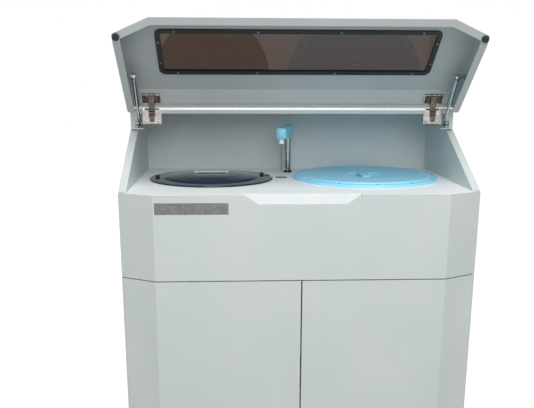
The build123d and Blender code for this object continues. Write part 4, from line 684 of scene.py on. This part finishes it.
def make_probe_arm():
    """Moulded arm, lofted along its length: a superellipse section whose width, height and middle
    change from the round head over the column to the square nose over the needle."""
    column, needle = centre_of("probe_column"), centre_of("probe_needle")
    low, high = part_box("probe_arm")
    low.z, high.z = low.z + 8.5 * MM, high.z + 7.5 * MM
    head_radius, past_needle = 20 * MM, 12 * MM
    head_front, head_length = 12 * MM, 32 * MM
    narrowing, top_fall, belly = 3.5 * MM, 2.5 * MM, 6 * MM      # from the head to the nose
    corner = 0.42                  # power of the section's superellipse
    along = Vector((needle.x - column.x, needle.y - column.y, 0.0))
    reach = along.length
    along.normalize()
    across = Vector((-along.y, along.x, 0.0))

    def ramp(value, start, length):
        """0 up to a start, and then evenly up to 1 over a length."""
        return np.clip((value - start) / length, 0, 1)

    s = np.linspace(0.0, 1.0, 61)
    place = -head_radius + s * (reach + head_radius + past_needle)
    round_end = np.sqrt(np.clip(1 - ramp(-place, -head_front, head_length) ** 2, 0, 1))
    nose_end = (1 - ramp(s, 0.88, 0.12) ** 5) ** 0.5
    half_width = (head_radius - narrowing * ramp(place, 20 * MM, 60 * MM)) * round_end
    half_width *= 0.55 + 0.45 * nose_end
    top = np.full_like(s, high.z) - top_fall * ramp(s, 0.2, 0.5)
    bottom = np.full_like(s, low.z + belly) - belly * ramp(s, 0.62, 0.12)
    ends = np.minimum(1.0, 0.35 + 0.65 * np.minimum(round_end * 1.2, nose_end * 1.2))
    middle, half_height = (top + bottom) / 2, (top - bottom) / 2 * ends
    half_height[[0, -1]] = half_width[[0, -1]] = 0.0
    u = np.linspace(0, 2 * pi, 56, endpoint=False)[None, :]
    side = half_width[:, None] * eased(np.cos(u), corner)
    x = column.x + along.x * place[:, None] + across.x * side
    y = column.y + along.y * place[:, None] + across.y * side
    z = middle[:, None] + half_height[:, None] * eased(np.sin(u), corner)
    mesh = grid_mesh("arm_casing", np.stack([x, y, z], axis=-1), wrap_v=True, sharp=60)
    piece("arm_casing", mesh, FINISHES["arm_plastic"], "probe", ["probe_arm"])
    sleeve = np.array([(9.3, 0), (13, 0), (14, 3), (14, 16), (9.3, 16)])
    socket = turned("column_socket", sleeve * MM, (column.x, column.y, low.z - 6 * MM), 64)
    piece("column_socket", socket, FINISHES["arm_plastic"], "probe")


def make_name_plate():
    """Bare brushed plate let into the front panel, with an eased rim."""
    front = CAD_BOX[0][1]
    low = Vector((NAME_PLATE_X[0], front - 0.05 * MM, NAME_PLATE_Z[0]))
    high = Vector((NAME_PLATE_X[1], front + 1.0 * MM, NAME_PLATE_Z[1]))
    piece("name_plate", plate_mesh("name_plate", low, high), FINISHES["plate"], "cabinet")


def make_ledge_glint():
    """Painted highlight on the top front corner of the fixed ledge: a near-white mirror strip that
    stands in for the glint on the sheet's rounded edge, as bars of superellipse section, broken
    where the hinges stand."""
    low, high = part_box("top_ledge")
    strips = []
    gap = 22 * MM                  # half the break at a hinge
    spans = ((low.x, -HINGE_X - gap), (-HINGE_X + gap, HINGE_X - gap), (HINGE_X + gap, high.x))
    for start, end in spans:
        strips.append(rounded_block(
            "strip", ((start + end) / 2, low.y + 0.6 * MM, high.z - 1.8 * MM),
            (end - start, 2.6 * MM, 4.8 * MM), 16.0, (48, 32)))
    piece("ledge_glint_strip", joined("ledge_glint_strip", strips), FINISHES["ledge_glint"], "cabinet")


def make_hinge_details():
    """Pan screws, arm block and lower lip of each hinge's fixed plate, and the lip of each cup on
    the lid, with a thin dark sheet in each cup as painted shade for its deep hollow."""
    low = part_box("hinge_bases")[0]
    bar = (40, 20)                 # grid of a plain bar
    rear_lip_y, inside_z = 0.0100, 1.0779
    screws, blocks, lips, cups = [], [], [], []
    for side in (-1, 1):
        x = side * HINGE_X
        for across in (-20, 20):
            place = Matrix.Translation((x + across * MM, low.y + 1 * MM, low.z + 11 * MM))
            place = place @ Matrix.Rotation(radians(90), 4, "X")
            screws.append(moved(pan_screw("screw", 4 * MM, 2 * MM), place))
        blocks.append(rounded_block("block", (x, low.y + 0.4 * MM, low.z + 17 * MM),
                                    (15 * MM, 3.2 * MM, 17 * MM), 8.0, bar))
        blocks.append(rounded_block("lip", (x, low.y + 0.6 * MM, low.z + 2 * MM),
                                    (50 * MM, 2.4 * MM, 4 * MM), 6.0, bar))
        for back in (0.0, -28.5):
            lips.append(rounded_block("lip", (x, rear_lip_y + back * MM, HINGE_CUP_RIM),
                                      (61 * MM, 3.0 * MM, 3 * MM), 6.0, bar))
        for across in (-29.5, 29.5):
            lips.append(rounded_block("lip", (x + across * MM, HINGE_CUP_Y, HINGE_CUP_RIM),
                                      (3 * MM, 30 * MM, 3 * MM), 6.0, bar))
        # a thin dark sheet inside the cup: painted shade standing in for the cup's deep hollow
        cups.append(rounded_block("cup", (x, HINGE_CUP_Y, inside_z),
                                  (54 * MM, 25 * MM, 0.8 * MM), 8.0, (40, 12)))
    for name, meshes, finish, body in (("hinge_plate_screws", screws, "nickel", "cabinet"),
                                       ("hinge_arm_blocks", blocks, "hinge_arm", "cabinet"),
                                       ("hinge_cup_lips", lips, "nickel", "lid"),
                                       ("hinge_cup_shade_sheets", cups, "cup_shade_paint", "lid")):
        mesh = joined(name, meshes)
        if body == "lid":
            moved(mesh, opened())
        piece(name, mesh, FINISHES[finish], body)


def make_spring_ends():
    """Ball socket at the lower end of each gas spring's rod."""
    inset, ball_radius = 6.5 * MM, 7.6 * MM
    for name in ("left", "right"):
        low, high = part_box(f"spring_rod_{name}")
        foot = Vector(((low.x + high.x) / 2, high.y - inset, low.z + inset))
        piece(f"rod_socket_{name}", ball("rod_socket", foot, ball_radius),
              FINISHES["black_plastic"], f"spring_{name}_rod")


# ================================================================================================
# Stage
# ================================================================================================
def seen_directly(tree):
    """1 for rays from the camera, or seen in a mirror or through glass."""
    path = add_node(tree, "ShaderNodeLightPath")
    first = worked_out(tree, "MAXIMUM", path.outputs["Is Camera Ray"],
                       path.outputs["Is Transmission Ray"])
    return worked_out(tree, "MAXIMUM", first, path.outputs["Is Glossy Ray"])


def make_floor():
    """A plain pale floor that shows as white and keeps a soft shadow."""
    material, tree, output = start_material("pale_floor")[:3]
    diffuse = add_node(tree, "ShaderNodeBsdfDiffuse", {"Color": linear("c0c1c1")})
    glow = add_node(tree, "ShaderNodeEmission", {"Color": WHITE, "Strength": FLOOR_GLOW})
    share = worked_out(tree, "MULTIPLY", seen_directly(tree), FLOOR_GLOW_SHARE)
    mix = add_node(tree, "ShaderNodeMixShader", {},
                   {0: share, 1: diffuse.outputs[0], 2: glow.outputs[0]})
    tree.links.new(mix.outputs[0], output.inputs["Surface"])
    reach = 12.0
    corners = np.array([[[-reach, -reach, 0], [-reach, reach, 0]],
                        [[reach, -reach, 0], [reach, reach, 0]]], float)
    floor = bpy.data.objects.new("floor", grid_mesh("floor", corners))
    bpy.context.scene.collection.objects.link(floor)
    floor.data.materials.append(material)


def make_world():
    """White where it is seen, and an even soft light on the object."""
    world = bpy.data.worlds.new("studio")
    bpy.context.scene.world = world
    world.use_nodes = True
    tree = world.node_tree
    tree.nodes.clear()
    soft = add_node(tree, "ShaderNodeBackground",
                    {"Color": linear("eef3f5"), "Strength": SOFT_LIGHT})
    white = add_node(tree, "ShaderNodeBackground", {"Color": WHITE, "Strength": 1.0})
    mix = add_node(tree, "ShaderNodeMixShader", {},
                   {0: seen_directly(tree), 1: soft.outputs[0], 2: white.outputs[0]})
    add_node(tree, "ShaderNodeOutputWorld", {}, {0: mix.outputs[0]})


def make_lamp(name, place, aim, size, power):
    """A square soft white lamp at a place, facing an aim. Its power is in watts."""
    light = bpy.data.lights.new(name, "AREA")
    light.energy, light.size = power, size
    lamp = bpy.data.objects.new(name, light)
    lamp.location = place
    lamp.rotation_mode = "QUATERNION"
    lamp.rotation_quaternion = (Vector(aim) - Vector(place)).to_track_quat("-Z", "Y")
    bpy.context.scene.collection.objects.link(lamp)


def make_camera():
    """The photograph's camera."""
    pitch, yaw, roll = CAMERA_PITCH, CAMERA_YAW, CAMERA_ROLL
    forward = Vector((sin(yaw) * cos(pitch), cos(yaw) * cos(pitch), -sin(pitch)))
    level = Vector((cos(yaw), -sin(yaw), 0.0))
    rise = level.cross(forward)
    right = cos(roll) * level + sin(roll) * rise
    up = -sin(roll) * level + cos(roll) * rise
    data = bpy.data.cameras.new("camera")
    data.sensor_width, data.lens = CAMERA_SENSOR, CAMERA_LENS
    data.shift_x, data.shift_y = CAMERA_SHIFT
    camera = bpy.data.objects.new("camera", data)
    matrix = Matrix((right, up, -forward)).transposed().to_4x4()
    matrix.translation = Vector(CAMERA_PLACE)
    camera.matrix_world = matrix
    bpy.context.scene.collection.objects.link(camera)
    bpy.context.scene.camera = camera


dress_cad_nodes()
make_lid_casing()
make_smoked_cover()
make_cover_handle()
make_knob("cover_knob_left", "left_knob", "thumb_knob_left")
make_knob("cover_knob_right", "right_knob", "thumb_knob_right")
make_blue_cover()
make_grip()
make_probe_arm()
make_name_plate()
make_ledge_glint()
make_hinge_details()
make_spring_ends()
make_floor()
make_world()
make_lamp("key", **KEY_LAMP)
make_lamp("front", **FRONT_LAMP)
make_camera()
bpy.context.scene.view_settings.view_transform = "Standard"
